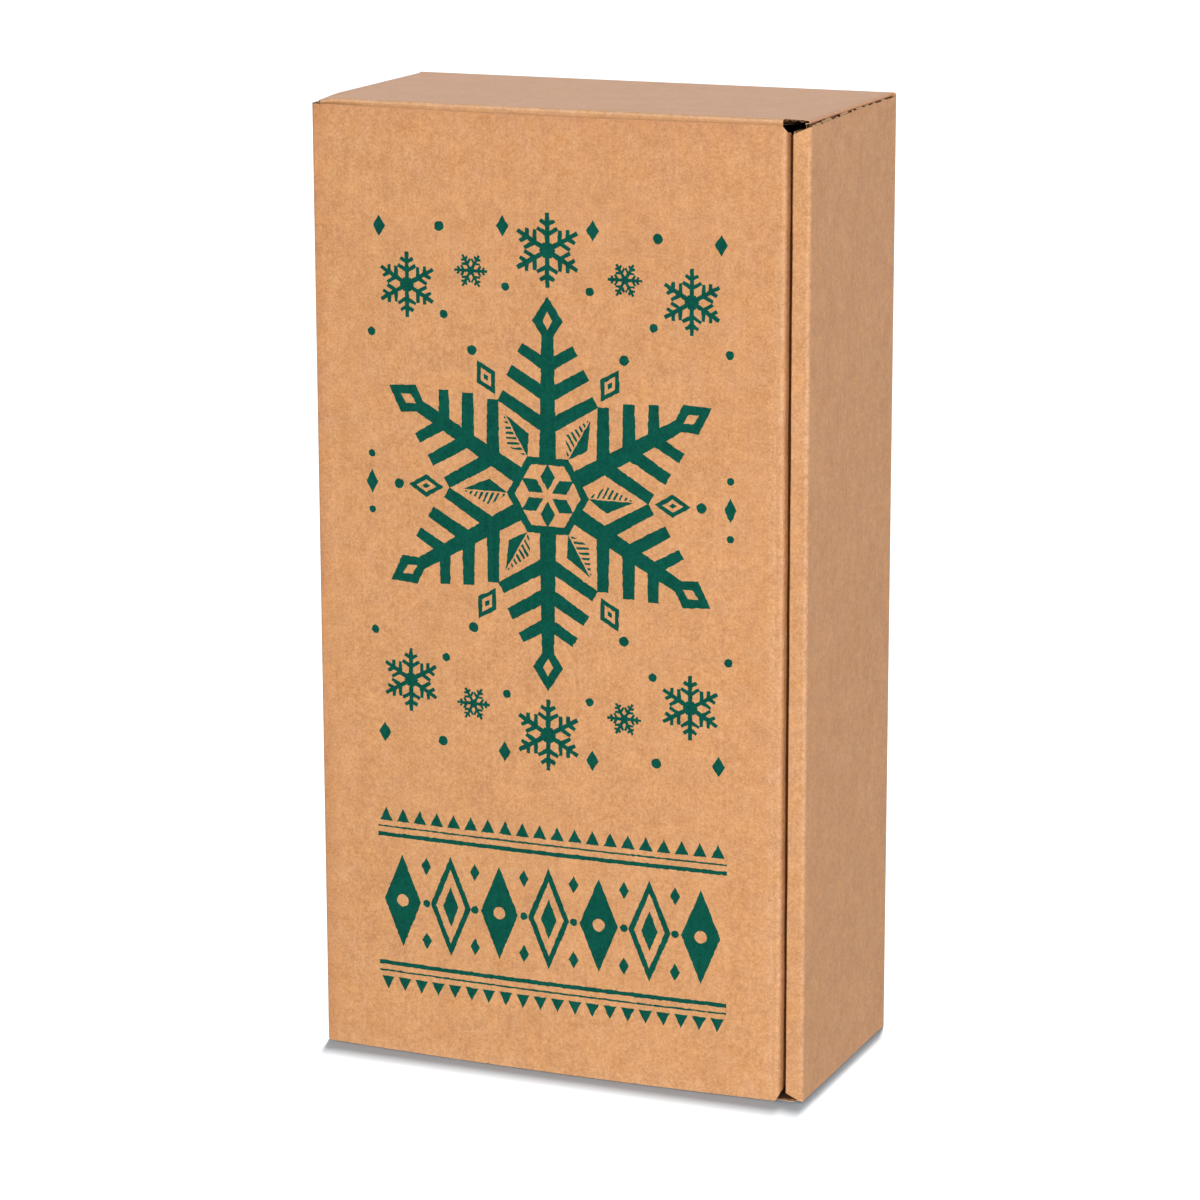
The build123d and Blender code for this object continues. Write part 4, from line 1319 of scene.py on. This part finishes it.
def lamp(name, kind, place, aim, receivers, **values):
    light = bpy.data.lights.new(name, kind)
    for k, v in values.items():
        setattr(light, k, v)
    o = bpy.data.objects.new(name, light)
    o.location = place
    o.rotation_mode = "QUATERNION"
    o.rotation_quaternion = (Vector(aim) - Vector(place)).to_track_quat("-Z", "Y")
    bpy.context.scene.collection.objects.link(o)
    o.light_linking.receiver_collection = receivers
    o.visible_camera = False
    return o


lamp("key_softbox", "SUN", (0.12, -0.857, 0.5), (0, 0, 0), carton_set, energy=KEY, angle=math.radians(26.0))
lamp("side_card", "AREA", (0.75, -0.75, 0.16), (0.02, -0.02, 0.16), carton_set, shape="RECTANGLE", size=0.3, size_y=0.5, energy=3.85, color=(1.0, 0.885, 0.91))
# a row of lamps almost straight overhead, so the carton's shadow on the sweep is
# a narrow band at its foot, soft on its outer side
toward = (math.sin(math.radians(13.5)), -math.cos(math.radians(13.5)))
for k in range(7):
    t = 0.0368 + 0.0140 * (k - 3) / 3
    lamp("sweep_light_%d" % (k + 1), "SUN", (-t * toward[0], -t * toward[1], 1.0), (0, 0, 0), floor_set, energy=SWEEP / 7, angle=math.radians(0.5))
# shadowless cool fill on the sweep, against the warm bounce from the carton
lamp("sweep_fill", "SUN", (0, 0, 1.0), (0, 0, 0), floor_set, energy=0.69, color=(0.10, 0.6, 0.95), use_shadow=False)

cam = bpy.data.cameras.new("camera")
cam.sensor_width, cam.lens = 36.0, 128.1
cam.clip_start, cam.clip_end = 0.05, 60.0
camera = bpy.data.objects.new("camera", cam)
bpy.context.scene.collection.objects.link(camera)
az, el, roll = math.radians(22.52), math.radians(13.34), math.radians(-0.14)
look = Vector((-math.sin(az) * math.cos(el), math.cos(az) * math.cos(el), -math.sin(el)))
right = Vector((math.cos(az), math.sin(az), 0))
up = right.cross(look)
right2 = right * math.cos(roll) + up * math.sin(roll)
up2 = up * math.cos(roll) - right * math.sin(roll)
camera.matrix_world = Matrix((
    (right2.x, up2.x, -look.x, 0.5940),
    (right2.y, up2.y, -look.y, -1.4376),
    (right2.z, up2.z, -look.z, 0.5400),
    (0, 0, 0, 1),
))
bpy.context.scene.camera = camera
bpy.context.scene.view_settings.view_transform = "Standard"
